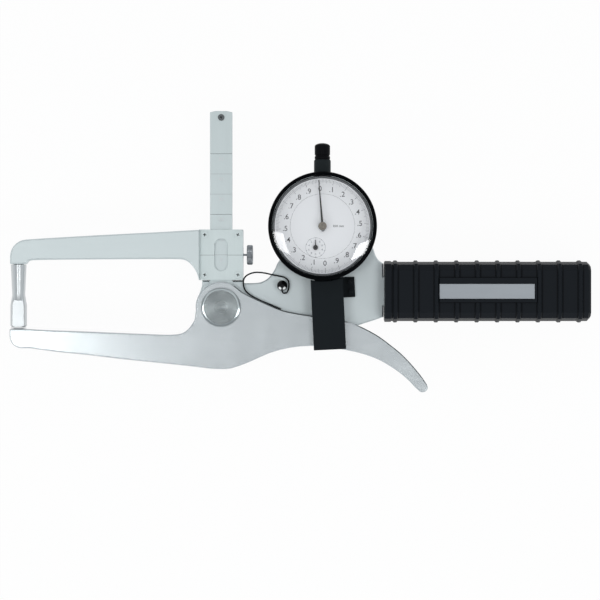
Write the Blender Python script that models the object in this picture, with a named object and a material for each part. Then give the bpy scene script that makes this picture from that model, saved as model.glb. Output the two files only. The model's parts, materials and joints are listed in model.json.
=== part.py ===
"""Dial caliper gauge for wall thickness, built piece by piece.

A frame carries a grip, a scale bar and a dial gauge. A sliding jaw is set along the bar
and locked. A lever turns on the frame's pivot: its left arm ends in the lower anvil, its
right arm is the trigger, and a pin on it lifts the gauge's spindle.

Metres, Z up. The tool lies on its back: X runs towards the grip, Y from the trigger
towards the dial, Z out of the dial. The origin is on the lever's axis, in the plane of
the pivot nut's and the grip's backs.
"""
import math

import bmesh
import bpy
from mathutils import Matrix, Vector

# Fits
SEAT_GAP = 0.0003
RUN_GAP = 0.0004
CUT_OVERRUN = 0.0010
HOLE_GAP = 0.0003

# Lever and jaws
JAW_REACH = 0.1000
SPINDLE_REACH = 0.0500
LEVER_BOSS_RADIUS = 0.01246
LEVER_THICKNESS = 0.0060
LEVER_CHAMFER = 0.0005
ARM_THICKNESS = 0.0090
ARM_CHAMFER = 0.0006
JAW_TIP_Y = -0.0099
THICK_ARM_START = 0.0030
THICK_ARM_GAP = 0.0006
ARM_END_MARGIN = 0.0041
LOWER_CORNER_RADIUS = 0.0060
UPPER_CORNER_RADIUS = 0.0084
UPPER_ARM_SEAT_Y = 0.0213
UPPER_ARM_CREST_Y = 0.0334

# The lever's left arm as shares of JAW_REACH, its top edge measured up from the tip's seat
LEVER_LEFT_TOP_SHARES = [
    (-0.940, -0.0005), (-0.866, -0.0050), (-0.693, -0.0110), (-0.496, -0.0195), (-0.299, -0.0275),
    (-0.250, -0.0280), (-0.201, -0.0230), (-0.176, -0.0120), (-0.152, 0.0105), (-0.130, 0.0450),
]
LEVER_LEFT_BOTTOM_SHARES = [
    (0.0, -0.305), (-0.050, -0.303), (-0.127, -0.2935), (-0.299, -0.275), (-0.496, -0.255),
    (-0.654, -0.2355), (-0.804, -0.2205), (-0.890, -0.209), (-0.940, -0.202),
]
# The lever's right arm and trigger as shares of SPINDLE_REACH
LEVER_RIGHT_TOP_SHARES = [
    (0.209, 0.150), (0.300, 0.103), (0.436, 0.041), (0.599, -0.028), (0.750, -0.061),
    (0.888, -0.083), (1.064, -0.110), (1.232, -0.140), (1.338, -0.173), (1.470, -0.236),
    (1.568, -0.294), (1.666, -0.368), (1.765, -0.447), (1.864, -0.546), (1.962, -0.662),
    (2.012, -0.732), (2.040, -0.784), (2.030, -0.820), (1.998, -0.838), (1.962, -0.833),
]
LEVER_RIGHT_BOTTOM_SHARES = [
    (1.864, -0.735), (1.765, -0.648), (1.666, -0.581), (1.568, -0.524), (1.470, -0.484),
    (1.371, -0.453), (1.272, -0.430), (1.064, -0.396), (0.878, -0.382), (0.682, -0.400),
    (0.484, -0.451), (0.288, -0.538), (0.100, -0.604),
]
# The upper arm as shares of JAW_REACH
UPPER_ARM_TOP_SHARES = [
    (-0.866, 0.340), (-0.595, 0.3555), (-0.2995, 0.3705), (-0.102, 0.382),
]
UPPER_ARM_BOTTOM_SHARES = [
    (-0.108, 0.134), (-0.114, 0.157), (-0.127, 0.186), (-0.152, 0.216), (-0.176, 0.232),
    (-0.201, 0.237), (-0.2995, 0.238), (-0.595, 0.2365), (-0.792, 0.235), (-0.915, 0.233),
    (-0.947, 0.2295), (-0.9555, 0.221),
]

# Anvils
ANVIL_SEAT_RADIUS = 0.0039
ANVIL_WAIST_RADIUS = 0.0032
ANVIL_TIP_RADIUS = 0.0041
ANVIL_FACE_RADIUS = 0.0034
ANVIL_WAIST_Y = 0.0060
ANVIL_FLARE_Y = 0.0011
ANVIL_FLAT_DEPTH = 0.0012
ANVIL_FLAT_TOP_Y = 0.0034
SPIGOT_RADIUS = 0.0025
SPIGOT_LENGTH = 0.0070
LOWER_ANVIL_STAND = 0.0009

# Frame
GRIP_START = 0.0806
FRAME_BACK = 0.0030
FRAME_THICKNESS = 0.0060
FRAME_CHAMFER = 0.0006
FRAME_BOSS_RADIUS = 0.0117
FRAME_PAD_RADIUS = 0.0258
FRAME_NECK_TOP = 0.0216
FRAME_NECK_BOTTOM = -0.0048
TANG_WIDTH = 0.0150
TANG_LENGTH = 0.0780
SHOULDER_RIGHT = 0.0110
SHOULDER_STAND = 0.00066
FRAME_LEFT_SHARES = [(-0.905, 0.441), (-0.815, 0.682), (-0.758, 0.879)]
FRAME_WAIST_SHARES = [
    (0.228, 0.2386), (0.308, 0.2386), (0.368, 0.2426), (0.409, 0.2544), (0.450, 0.2762),
    (0.482, 0.305), (0.510, 0.3416), (0.5346, 0.3812), (0.552, 0.426),
]
FRAME_NECK_TOP_SHARES = [(0.938, 0.348), (0.947, 0.319), (0.967, 0.288)]
FRAME_NECK_BOTTOM_SHARES = [
    (0.942, -0.079), (0.881, -0.098), (0.832, -0.115), (0.708, -0.141), (0.489, -0.154),
    (0.244, -0.149),
]
PAD_START_ANGLE = math.radians(217)
PAD_END_ANGLE = math.radians(-19)

# Scale bar and jaw slider
BAR_WIDTH = 0.0110
BAR_THICKNESS = 0.0050
BAR_TOP_Y = 0.0971
BAR_CROWN = 0.0006
BAR_FOOT_LENGTH = 0.0070
BAR_RIVET_SPACING = 0.0056
BAR_RIVET_DROP = 0.0038
BAR_RIVET_RADIUS = 0.0011
RELIEF_RADIUS = 0.0007
STOP_SCREW_DROP = 0.0032
SLIDER_LENGTH = 0.0250
SLIDER_LEFT_WALL = 0.0046
SLIDER_RIGHT_WALL = 0.0050
COVER_THICKNESS = 0.0016
COVER_CORNER_RADIUS = 0.0020
COVER_SCREW_LEFT_INSET = 0.0024
COVER_SCREW_RIGHT_INSET = 0.0026
COVER_SCREW_END_INSET = 0.0026
WINDOW_WIDTH = 0.0066
WINDOW_LENGTH = 0.0160

# Lock screw
LOCK_HEAD_RADIUS = 0.0049
LOCK_HEAD_LENGTH = 0.0030
LOCK_NECK = 0.0018
LOCK_SHANK_RADIUS = 0.0012
LOCK_PAD_LENGTH = 0.0012
LOCK_FLUTES = 20
LOCK_FLUTE_DEPTH = 0.0003

# Small screws
SCREW_HEAD_RADIUS = 0.0016
SCREW_HEAD_HEIGHT = 0.0009
SCREW_SHANK_RADIUS = 0.0009
SCREW_LENGTH = 0.0045
CROSS_WIDTH = 0.0005
CROSS_DEPTH = 0.0005
CROSS_REACH_SHARE = 0.65
STOP_SCREW_LENGTH = 0.0030

# Pivot
PIVOT_KNOB_RADIUS = 0.0096
PIVOT_KNOB_HEIGHT = 0.0026
PIVOT_KNOB_BEVEL = 0.0012
PIVOT_SHANK_RADIUS = 0.0035
PIVOT_BUSH_WALL = 0.0012
PIVOT_THREAD_RADIUS = 0.0025
NUT_RADIUS = 0.0070
NUT_FLOOR = 0.0006
NUT_EDGE = 0.0004

# Grip
GRIP_LENGTH = 0.1011
GRIP_HEIGHT = 0.0294
GRIP_DEPTH = 0.0240
GRIP_CENTRE_Y = 0.0078
GRIP_FLAT_WIDTH = 0.0207
GRIP_SPLIT_GAP = 0.0003
GRIP_END_ROUND = 0.0014
GRIP_COLLAR_LENGTH = 0.0034
GRIP_COLLAR_RISE = 0.0004
RIB_COUNT = 10
RIB_FIRST = 0.0052
RIB_PITCH = 0.01007
RIB_RISE = 0.0007
RIB_TOP_WIDTH = 0.0014
RIB_FOOT_WIDTH = 0.0024
GRIP_CORNER_STEPS = 3
GRIP_SCREW_INSET = 0.0120
GRIP_SCREW_COUNT = 3
GRIP_SCREW_END_INSET = 0.0140
GRIP_SCREW_HEAD_RADIUS = 0.0028
GRIP_SCREW_HEAD_HEIGHT = 0.0012
GRIP_SCREW_SHANK_RADIUS = 0.0014
GRIP_SCREW_LENGTH = 0.0170
GRIP_SCREW_SINK = 0.0003
PLATE_LENGTH = 0.0467
PLATE_HEIGHT = 0.0074
PLATE_THICKNESS = 0.0006
PLATE_CENTRE_X = 0.0500
PLATE_RECESS = 0.0006

# Return spring and its post
POST_PLACE_SHARES = (0.605, 0.2134)
POST_BALL_RADIUS = 0.0026
POST_NECK_RADIUS = 0.0012
POST_BASE_RADIUS = 0.0021
POST_BASE_HEIGHT = 0.0012
POST_SPIGOT_LENGTH = 0.0035
WIRE_RADIUS = 0.00038
WIRE_STEPS = 2
WIRE_ROUTE_SHARES = [
    (0.990, 0.288), (1.015, 0.232), (1.075, 0.240), (1.108, 0.330), (1.100, 0.432),
    (1.047, 0.482), (0.983, 0.502), (0.836, 0.530), (0.728, 0.556), (0.588, 0.570),
    (0.500, 0.556), (0.425, 0.522), (0.385, 0.482),
    (0.369, 0.440), (0.375, 0.385), (0.398, 0.318), (0.442, 0.265), (0.525, 0.203), (0.625, 0.150),
    (0.735, 0.098), (0.855, 0.045), (0.930, 0.010), (0.985, -0.014),
]

# Dial gauge
GAUGE_Y = 0.0397
CASE_RADIUS = 0.0246
CASE_WALL = 0.0020
CASE_FRONT_WALL = 0.0015
CASE_BACK_THICKNESS = 0.0020
STEM_ROOM = 0.0006
DIAL_THICKNESS = 0.0004
DIAL_FACE_RADIUS = 0.0158
DIAL_RING_INNER_RADIUS = 0.0161
DIAL_FLAT_RADIUS = 0.0233
DIAL_RIM_RADIUS = 0.0246
DIAL_RIM_RISE = 0.0032
DIAL_RIM_TOP = 0.0003
BEZEL_RADIUS = 0.0266
BEZEL_LIP_RADIUS = 0.02465
BEZEL_EDGE = 0.0014
CRYSTAL_THICKNESS = 0.0007
CRYSTAL_DOME = 0.0003
CRYSTAL_GROOVE = 0.0007
BEZEL_LIP = 0.0005
GAUGE_SIDES = 44
BACK_SCREW_CIRCLE = 0.0205
BACK_SCREW_ANGLES = [math.radians(20), math.radians(160), math.radians(205), math.radians(335)]
BACK_POST_RADIUS = 0.0022

# Spindle, stem and cap
SPINDLE_RADIUS = 0.0020
SPINDLE_LEVER_GAP = 0.0005
STEM_RADIUS = 0.0040
STEM_WALL = 0.0016
STEM_BOTTOM_Y = 0.0036
STEM_INNER_LENGTH = 0.0012
SLEEVE_RADIUS = 0.00413
SLEEVE_TOP_Y = 0.0726
CAP_RADIUS = 0.0038
CAP_WALL = 0.0010
CAP_HEIGHT = 0.0078
CAP_CROWN = 0.0010
SPINDLE_TRAVEL = 0.0050
SPINDLE_TOP_ROOM = 0.0006
CONTACT_PIN_RADIUS = 0.0015
CONTACT_PIN_Y = -0.0095
CONTACT_PIN_STAND = 0.0050
CONTACT_PIN_SINK = 0.0030
CONTACT_TIP_LENGTH = 0.0048
CONTACT_TIP_RADIUS = 0.0012
CONTACT_COLLAR_LENGTH = 0.0016
CONTACT_COLLAR_RADIUS = 0.0018
GUIDE_PIN_RADIUS = 0.0005
GUIDE_PIN_LENGTH = 0.0076
GUIDE_PIN_DROP = 0.0060
PULL_SPRING_RADIUS = 0.0012
PULL_WIRE_RADIUS = 0.0002
PULL_SPRING_TURNS = 8
PULL_SPRING_POINTS = 6
PULL_ANCHOR_DROP = 0.0150
PULL_ANCHOR_RADIUS = 0.0006
PULL_SPRING_SIDE = 0.0065

# Movement
GEAR_MODULE = 0.00025
SECTOR_TEETH = 80
CENTRE_TEETH = 8
TAKE_UP_TEETH = 64
RACK_PINION_TEETH = 16
FEED_PER_TURN = 0.0100
SMALL_HAND_SIDE = 0.0034
TAKE_UP_ANGLE = math.radians(40)
GEAR_THICKNESS = 0.0006
TOOTH_TIP_SHARE = 0.6
TOOTH_ROOT_SHARE = 1.25
CENTRE_PINION_LENGTH = 0.0010
RACK_PINION_LENGTH = 0.0022
RACK_LENGTH = 0.0090
RACK_LEAD = 0.0020
ARBOR_RADIUS = 0.0005
ARBOR_SIDES = 8
COLLET_WALL = 0.0003
GEAR_SPINDLE_GAP = 0.0004
BRIDGE_THICKNESS = 0.0008
BRIDGE_RADIUS = 0.0178
BRIDGE_PILLAR_RADIUS = 0.0014
BRIDGE_PILLAR_CIRCLE = 0.0160
BRIDGE_PILLAR_ANGLES = [math.radians(138), math.radians(-20), math.radians(200)]
HAIRSPRING_TURNS = 3
HAIRSPRING_POINTS = 10
HAIRSPRING_INNER_RADIUS = 0.0011
HAIRSPRING_OUTER_RADIUS = 0.0038
HAIRSPRING_WIRE = 0.00012
HAIRSPRING_DROP = 0.0014

# Hands
MAIN_HAND_LENGTH = 0.0226
MAIN_HAND_TAIL = 0.0026
MAIN_HAND_ROOT_WIDTH = 0.0012
MAIN_HAND_TIP_WIDTH = 0.0003
MAIN_HAND_HUB_RADIUS = 0.0020
MAIN_HAND_ANGLE = math.radians(4.7)
MAIN_HAND_RISE = 0.0012
SMALL_HAND_LENGTH = 0.0036
SMALL_HAND_TAIL = 0.0010
SMALL_HAND_WIDTH = 0.0007
SMALL_HAND_HUB_RADIUS = 0.00125
SMALL_HAND_RISE = 0.0004
HAND_THICKNESS = 0.0003
HUB_CROWN = 0.0006
ARBOR_SINK = 0.0005

# Stem bracket and spindle cover
BRACKET_TILT = math.radians(2.7)
BRACKET_BOTTOM_Y = 0.0043
BRACKET_BLOCK_TOP_Y = 0.0124
BRACKET_BLOCK_LEFT = 0.0032
BRACKET_EAR_TOP_Y = 0.0143
BRACKET_EAR_RIGHT = 0.0158
BRACKET_BASE_THICKNESS = 0.0025
BRACKET_FRONT_WALL = 0.0008
BRACKET_SCREW_INSET = 0.0017
BRACKET_SCREW_END_INSET = 0.0025
COVER_BOX_WIDTH = 0.0158
COVER_BOX_LEFT = 0.0059
COVER_BOX_BOTTOM_Y = -0.0209
COVER_BOX_TOP_Y = 0.0150
COVER_BOX_WALL = 0.0009
BEZEL_COVER_GAP = 0.0004

SMOOTH_ANGLE = math.radians(35)
CURVE_STEPS = 2
SCREW_SIDES = 10
PIN_SIDES = 14
ROUND_SIDES = 24
KNOB_SIDES = 32

# Levels, from the rest plane towards the dial
frame_front = FRAME_BACK + FRAME_THICKNESS
frame_middle = FRAME_BACK + FRAME_THICKNESS / 2
grip_middle = GRIP_DEPTH / 2
lever_back = frame_front + SEAT_GAP
lever_front = lever_back + LEVER_THICKNESS
arm_back = lever_front - ARM_THICKNESS
anvil_level = lever_front - ARM_THICKNESS / 2
bar_back = frame_front - BAR_THICKNESS
bar_middle = frame_front - BAR_THICKNESS / 2
cover_back = frame_front + SEAT_GAP
cover_front = cover_back + COVER_THICKNESS
spindle_level = lever_front + SPINDLE_LEVER_GAP + SPINDLE_RADIUS
case_back = frame_front + 2 * SEAT_GAP + CASE_BACK_THICKNESS
case_front = spindle_level + STEM_RADIUS + STEM_ROOM + CASE_FRONT_WALL
case_floor = case_front - CASE_FRONT_WALL
dial_back = case_front + SEAT_GAP
dial_front = dial_back + DIAL_THICKNESS
crystal_back = dial_front + DIAL_RIM_RISE + SEAT_GAP
crystal_front = crystal_back + CRYSTAL_THICKNESS
wire_level = (lever_back + lever_front) / 2
bezel_back = spindle_level + SLEEVE_RADIUS + RUN_GAP
bezel_front = crystal_front + SEAT_GAP + BEZEL_LIP
main_hand_level = dial_front + MAIN_HAND_RISE
small_hand_level = dial_front + SMALL_HAND_RISE
bracket_back = frame_front + SEAT_GAP
bracket_front = spindle_level + STEM_RADIUS + HOLE_GAP + BRACKET_FRONT_WALL
cover_box_back = lever_front + SEAT_GAP
cover_box_floor = bracket_front + SEAT_GAP
cover_box_front = cover_box_floor + COVER_BOX_WALL
cover_screw_level = cover_front - SCREW_HEAD_HEIGHT
bracket_screw_level = bracket_back + BRACKET_BASE_THICKNESS + SEAT_GAP
grip_screw_level = GRIP_SCREW_SINK + GRIP_SCREW_HEAD_HEIGHT
back_screw_level = case_back - SEAT_GAP - CASE_BACK_THICKNESS + SCREW_HEAD_HEIGHT

# Places in the plane of the frame
post_x = SPINDLE_REACH * POST_PLACE_SHARES[0]
post_y = SPINDLE_REACH * POST_PLACE_SHARES[1]
shoulder_y = LEVER_BOSS_RADIUS + SHOULDER_STAND
slider_bottom = shoulder_y + SEAT_GAP
slider_top = slider_bottom + SLIDER_LENGTH
index_y = slider_bottom + SLIDER_LENGTH / 2
bar_side = BAR_WIDTH / 2
slider_left = -bar_side - RUN_GAP - SLIDER_LEFT_WALL
slider_right = bar_side + RUN_GAP + SLIDER_RIGHT_WALL
gauge_centre = Vector((SPINDLE_REACH, GAUGE_Y, 0))
rack_pinion_radius = FEED_PER_TURN / (2 * math.pi)
sector_distance = GEAR_MODULE * (SECTOR_TEETH + CENTRE_TEETH) / 2
take_up_distance = GEAR_MODULE * (TAKE_UP_TEETH + CENTRE_TEETH) / 2
small_hand_drop = math.sqrt(sector_distance ** 2 - SMALL_HAND_SIDE ** 2)
small_hand_centre = gauge_centre + Vector((-SMALL_HAND_SIDE, -small_hand_drop, 0))
take_up_offset = Vector((math.cos(TAKE_UP_ANGLE), math.sin(TAKE_UP_ANGLE), 0)) * take_up_distance
take_up_centre = gauge_centre + take_up_offset
gear_back = spindle_level + SPINDLE_RADIUS + GEAR_SPINDLE_GAP
gear_front = gear_back + GEAR_THICKNESS
bridge_back = case_back + SEAT_GAP
bridge_front = bridge_back + BRIDGE_THICKNESS
hairspring_level = gear_back - HAIRSPRING_DROP
arbor_foot = bridge_back + ARBOR_SINK
contact_tip_y = CONTACT_PIN_Y + CONTACT_PIN_RADIUS + SEAT_GAP
spindle_foot_y = contact_tip_y + CONTACT_TIP_LENGTH + SEAT_GAP
cap_foot_y = SLEEVE_TOP_Y + SEAT_GAP
spindle_top_y = cap_foot_y + CAP_HEIGHT - CAP_WALL - SPINDLE_TRAVEL - SPINDLE_TOP_ROOM
guide_pin_y = GAUGE_Y - GUIDE_PIN_DROP
pull_anchor = gauge_centre + Vector((PULL_SPRING_SIDE, -PULL_ANCHOR_DROP, 0))
mesh_angle = math.atan2(-small_hand_drop, -SMALL_HAND_SIDE)
bracket_home = Vector((SPINDLE_REACH, COVER_BOX_TOP_Y, 0))

# Directions for pieces that are turned about Z and then laid over
ALONG_Y = (-math.pi / 2, 0, 0)
ALONG_X = (0, math.pi / 2, 0)
DOWN_Y = (math.pi / 2, 0, 0)
DOWN_Z = (math.pi, 0, 0)


def clear_scene():
    """Remove what the scene holds."""
    for item in list(bpy.data.objects):
        bpy.data.objects.remove(item, do_unlink=True)


def finish(name, colour, roughness, metallic):
    """A Principled material."""
    material = bpy.data.materials.new(name)
    material.use_nodes = True
    shader = material.node_tree.nodes["Principled BSDF"]
    shader.inputs["Base Color"].default_value = (*colour, 1)
    shader.inputs["Roughness"].default_value = roughness
    shader.inputs["Metallic"].default_value = metallic
    return material


def axis(name, place):
    """An empty on a joint's axis, which the moving pieces ride on."""
    empty = bpy.data.objects.new(name, None)
    bpy.context.collection.objects.link(empty)
    empty.location = place
    return empty


def add(name, mesh, look, home=(0, 0, 0), turn=(0, 0, 0), rider=None):
    """A named object from a bmesh, placed in the world and hung on its axis."""
    data = bpy.data.meshes.new(name)
    bmesh.ops.recalc_face_normals(mesh, faces=mesh.faces[:])
    mesh.to_mesh(data)
    mesh.free()
    data.materials.append(look)
    data.shade_smooth()
    data.set_sharp_from_angle(angle=SMOOTH_ANGLE)
    part = bpy.data.objects.new(name, data)
    bpy.context.collection.objects.link(part)
    part.location = home
    part.rotation_euler = turn
    if rider is not None:
        part.parent = rider
        part.location = Vector(home) - rider.location
    return part


def shape_with(part, mesh, operation, home, turn):
    """Join a hidden shape to a part, or cut it away, with a Boolean."""
    tool = add(f"{part.name}_tool_{len(part.modifiers)}", mesh, part.data.materials[0], home, turn)
    tool.hide_render = True
    tool.display_type = "WIRE"
    modifier = part.modifiers.new("shape", "BOOLEAN")
    modifier.operation = operation
    modifier.solver = "EXACT"
    modifier.object = tool


def cut(part, mesh, home=(0, 0, 0), turn=(0, 0, 0)):
    """Cut a shape out of a part."""
    shape_with(part, mesh, "DIFFERENCE", home, turn)


def join(part, mesh, home=(0, 0, 0), turn=(0, 0, 0)):
    """Weld a shape to a part."""
    shape_with(part, mesh, "UNION", home, turn)


def bridge_rows(mesh, lower, upper):
    """Faces between two rings of points, either of which may be one pole."""
    count = max(len(lower), len(upper))
    for index in range(count):
        ahead = (index + 1) % count
        if len(lower) == 1:
            mesh.faces.new((lower[0], upper[index], upper[ahead]))
        elif len(upper) == 1:
            mesh.faces.new((lower[index], lower[ahead], upper[0]))
        else:
            mesh.faces.new((lower[index], lower[ahead], upper[ahead], upper[index]))


def turned(profile, sides, ring=False):
    """A solid turned about Z from (radius, height) points; a ring closes on itself."""
    mesh = bmesh.new()
    rows = []
    for radius, height in profile:
        if radius == 0:
            rows.append([mesh.verts.new((0, 0, height))])
            continue
        row = []
        for index in range(sides):
            angle = 2 * math.pi * index / sides
            row.append(mesh.verts.new((radius * math.cos(angle), radius * math.sin(angle), height)))
        rows.append(row)
    for lower, upper in zip(rows, rows[1:]):
        bridge_rows(mesh, lower, upper)
    if ring:
        bridge_rows(mesh, rows[-1], rows[0])
    return mesh


def rod(radius, bottom, top, sides=PIN_SIDES):
    """A plain cylinder about Z."""
    return turned([(0, bottom), (radius, bottom), (radius, top), (0, top)], sides)


def inset(outline, distance):
    """The outline moved inwards by a distance."""
    area = 0.0
    count = len(outline)
    for (x0, y0), (x1, y1) in zip(outline, outline[1:] + outline[:1]):
        area += x0 * y1 - x1 * y0
    side = 1 if area > 0 else -1
    moved = []
    for index, (x, y) in enumerate(outline):
        before = Vector((x, y)) - Vector(outline[index - 1])
        after = Vector(outline[(index + 1) % count]) - Vector((x, y))
        first = Vector((-before.y, before.x)).normalized()
        second = Vector((-after.y, after.x)).normalized()
        middle = (first + second).normalized()
        reach = distance / max(middle.dot(first), 0.5)
        moved.append((x + side * middle.x * reach, y + side * middle.y * reach))
    return moved


def plate(outline, back, front, front_chamfer=0.0, back_chamfer=0.0):
    """A plate with a flat outline, its edges chamfered where asked."""
    levels = [(outline, back + back_chamfer), (outline, front - front_chamfer)]
    if back_chamfer:
        levels.insert(0, (inset(outline, back_chamfer), back))
    if front_chamfer:
        levels.append((inset(outline, front_chamfer), front))
    mesh = bmesh.new()
    rows = []
    for ring, level in levels:
        rows.append([mesh.verts.new((x, y, level)) for x, y in ring])
    for lower, upper in zip(rows, rows[1:]):
        bridge_rows(mesh, lower, upper)
    mesh.faces.new(rows[0])
    mesh.faces.new(rows[-1])
    return mesh


def block(low, high):
    """A box between two corners."""
    outline = [(low[0], low[1]), (high[0], low[1]), (high[0], high[1]), (low[0], high[1])]
    return plate(outline, low[2], high[2])


def arc(centre, radius, start, end, steps):
    """Points on an arc, both ends included."""
    points = []
    for index in range(steps + 1):
        angle = start + (end - start) * index / steps
        points.append((centre[0] + radius * math.cos(angle), centre[1] + radius * math.sin(angle)))
    return points


def scaled(shares, size):
    """A table of shares as places."""
    return [tuple(share * size for share in row) for row in shares]


def smooth(points, steps=CURVE_STEPS):
    """An open curve through the points, with its corners eased."""
    nodes = [Vector(point) for point in points]
    nodes = [2 * nodes[0] - nodes[1]] + nodes + [2 * nodes[-1] - nodes[-2]]
    curve = []
    for p0, p1, p2, p3 in zip(nodes, nodes[1:], nodes[2:], nodes[3:]):
        t1 = math.sqrt((p1 - p0).length)
        t2 = t1 + math.sqrt((p2 - p1).length)
        t3 = t2 + math.sqrt((p3 - p2).length)
        for index in range(steps):
            t = t1 + (t2 - t1) * index / steps
            a1 = p0 * ((t1 - t) / t1) + p1 * (t / t1)
            a2 = p1 * ((t2 - t) / (t2 - t1)) + p2 * ((t - t1) / (t2 - t1))
            a3 = p2 * ((t3 - t) / (t3 - t2)) + p3 * ((t - t2) / (t3 - t2))
            b1 = a1 * ((t2 - t) / t2) + a2 * (t / t2)
            b2 = a2 * ((t3 - t) / (t3 - t1)) + a3 * ((t - t1) / (t3 - t1))
            curve.append(tuple(b1 * ((t2 - t) / (t2 - t1)) + b2 * ((t - t1) / (t2 - t1))))
    curve.append(tuple(points[-1]))
    return curve


def wire(name, points, radius, look, rider=None):
    """A round wire along the points, with flat ends."""
    data = bpy.data.curves.new(name, "CURVE")
    data.dimensions = "3D"
    data.bevel_depth = radius
    data.bevel_resolution = 1
    data.use_fill_caps = True
    spline = data.splines.new("POLY")
    spline.points.add(len(points) - 1)
    home = rider.location if rider is not None else Vector((0, 0, 0))
    for knot, place in zip(spline.points, points):
        knot.co = (*(Vector(place) - home), 1)
    data.materials.append(look)
    part = bpy.data.objects.new(name, data)
    bpy.context.collection.objects.link(part)
    if rider is not None:
        part.parent = rider
    return part


def screw_mesh(head_radius, head_height, shank_radius, length):
    """A pan-head screw along Z, its head's seat at zero and its shank below."""
    profile = [
        (0, -length), (shank_radius, -length), (shank_radius, 0), (head_radius, 0),
        (head_radius, head_height / 2), (head_radius - head_height / 2, head_height), (0, head_height),
    ]
    return turned(profile, SCREW_SIDES)


def cross_recess(part, head_radius, head_height, home, turn):
    """Cut a cross into a screw's head."""
    reach = head_radius * CROSS_REACH_SHARE
    side = CROSS_WIDTH / 2
    outline = [
        (side, side), (side, reach), (-side, reach), (-side, side), (-reach, side), (-reach, -side),
        (-side, -side), (-side, -reach), (side, -reach), (side, -side), (reach, -side), (reach, side),
    ]
    cut(part, plate(outline, head_height - CROSS_DEPTH, head_height + CUT_OVERRUN), home, turn)


def small_screw(name, look, home, turn=(0, 0, 0), rider=None, length=SCREW_LENGTH):
    """One cross-recess screw with its head's seat at its place."""
    mesh = screw_mesh(SCREW_HEAD_RADIUS, SCREW_HEAD_HEIGHT, SCREW_SHANK_RADIUS, length)
    part = add(name, mesh, look, home, turn, rider)
    cross_recess(part, SCREW_HEAD_RADIUS, SCREW_HEAD_HEIGHT, home, turn)
    return part


def screw_hole(part, home, turn=(0, 0, 0), length=SCREW_LENGTH, sunk=False):
    """Cut the hole, and the head's pocket, for a small screw."""
    shank = SCREW_SHANK_RADIUS + HOLE_GAP
    head = SCREW_HEAD_RADIUS + HOLE_GAP
    bottom = -length - HOLE_GAP
    top = SCREW_HEAD_HEIGHT + CUT_OVERRUN
    profile = [(0, bottom), (shank, bottom), (shank, top), (0, top)]
    if sunk:
        profile = [
            (0, bottom), (shank, bottom), (shank, -SEAT_GAP), (head, -SEAT_GAP), (head, top), (0, top),
        ]
    cut(part, turned(profile, SCREW_SIDES), home, turn)


def lever_outline():
    """The lever seen from the front: left arm, round boss, trigger and back."""
    left = -JAW_REACH - ARM_END_MARGIN
    corner = (left + LOWER_CORNER_RADIUS, JAW_REACH * LEVER_LEFT_BOTTOM_SHARES[-1][1] + LOWER_CORNER_RADIUS)
    outline = [(left, JAW_TIP_Y - LOWER_ANVIL_STAND)]
    seat = JAW_TIP_Y - LOWER_ANVIL_STAND
    outline += smooth([(x, seat + y) for x, y in scaled(LEVER_LEFT_TOP_SHARES, JAW_REACH)])
    outline += arc((0, 0), LEVER_BOSS_RADIUS, math.radians(188), math.radians(52), 12)
    right = scaled(LEVER_RIGHT_TOP_SHARES + LEVER_RIGHT_BOTTOM_SHARES, SPINDLE_REACH)
    outline += smooth(right + scaled(LEVER_LEFT_BOTTOM_SHARES, JAW_REACH))
    outline += arc(corner, LOWER_CORNER_RADIUS, math.radians(-90), math.radians(-180), 6)
    return outline


def lever(look, rider):
    """The measuring lever: thick left arm, thinner boss and trigger in front of the frame."""
    mesh = plate(lever_outline(), arm_back, lever_front, LEVER_CHAMFER, LEVER_CHAMFER)
    part = add("lever", mesh, look, rider=rider)
    clear = LEVER_BOSS_RADIUS + THICK_ARM_GAP
    far = 2 * JAW_REACH
    side = -THICK_ARM_START
    turn = math.acos(side / clear)
    relief = arc((0, 0), clear, turn, 2 * math.pi - turn, 12)
    relief = [(far, far), (side, far)] + relief + [(side, -far), (far, -far)]
    cut(part, plate(relief, arm_back - CUT_OVERRUN, lever_back))
    bore = PIVOT_SHANK_RADIUS + HOLE_GAP + PIVOT_BUSH_WALL + HOLE_GAP
    cut(part, rod(bore, arm_back, lever_front + CUT_OVERRUN, ROUND_SIDES))
    tip = (-JAW_REACH, JAW_TIP_Y - LOWER_ANVIL_STAND, anvil_level)
    cut(part, rod(SPIGOT_RADIUS + HOLE_GAP, -CUT_OVERRUN, SPIGOT_LENGTH), tip, DOWN_Y)
    pin = (SPINDLE_REACH, CONTACT_PIN_Y, lever_front)
    hole = rod(CONTACT_PIN_RADIUS + HOLE_GAP, -CONTACT_PIN_SINK - HOLE_GAP, CUT_OVERRUN)
    cut(part, hole, pin)


def lower_anvil(look, rider):
    """The insert in the lever's end, with its spigot in the bore."""
    top = LOWER_ANVIL_STAND - SEAT_GAP / 2
    profile = [
        (0, SEAT_GAP - SPIGOT_LENGTH), (SPIGOT_RADIUS, SEAT_GAP - SPIGOT_LENGTH),
        (SPIGOT_RADIUS, SEAT_GAP), (ANVIL_SEAT_RADIUS, SEAT_GAP), (ANVIL_SEAT_RADIUS, top), (0, top),
    ]
    home = (-JAW_REACH, JAW_TIP_Y - LOWER_ANVIL_STAND, anvil_level)
    add("lower_anvil", turned(profile, ROUND_SIDES), look, home, ALONG_Y, rider)


def contact_pin(look, rider):
    """The pin on the lever that lifts the spindle."""
    mesh = rod(CONTACT_PIN_RADIUS, -CONTACT_PIN_SINK, CONTACT_PIN_STAND)
    add("contact_pin", mesh, look, (SPINDLE_REACH, CONTACT_PIN_Y, lever_front), rider=rider)


def pivot_bush(look, rider):
    """The bronze bush pressed in the lever's boss."""
    inner = PIVOT_SHANK_RADIUS + HOLE_GAP
    outer = inner + PIVOT_BUSH_WALL
    profile = [(inner, lever_back), (outer, lever_back), (outer, lever_front), (inner, lever_front)]
    add("pivot_bush", turned(profile, ROUND_SIDES, ring=True), look, rider=rider)


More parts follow.
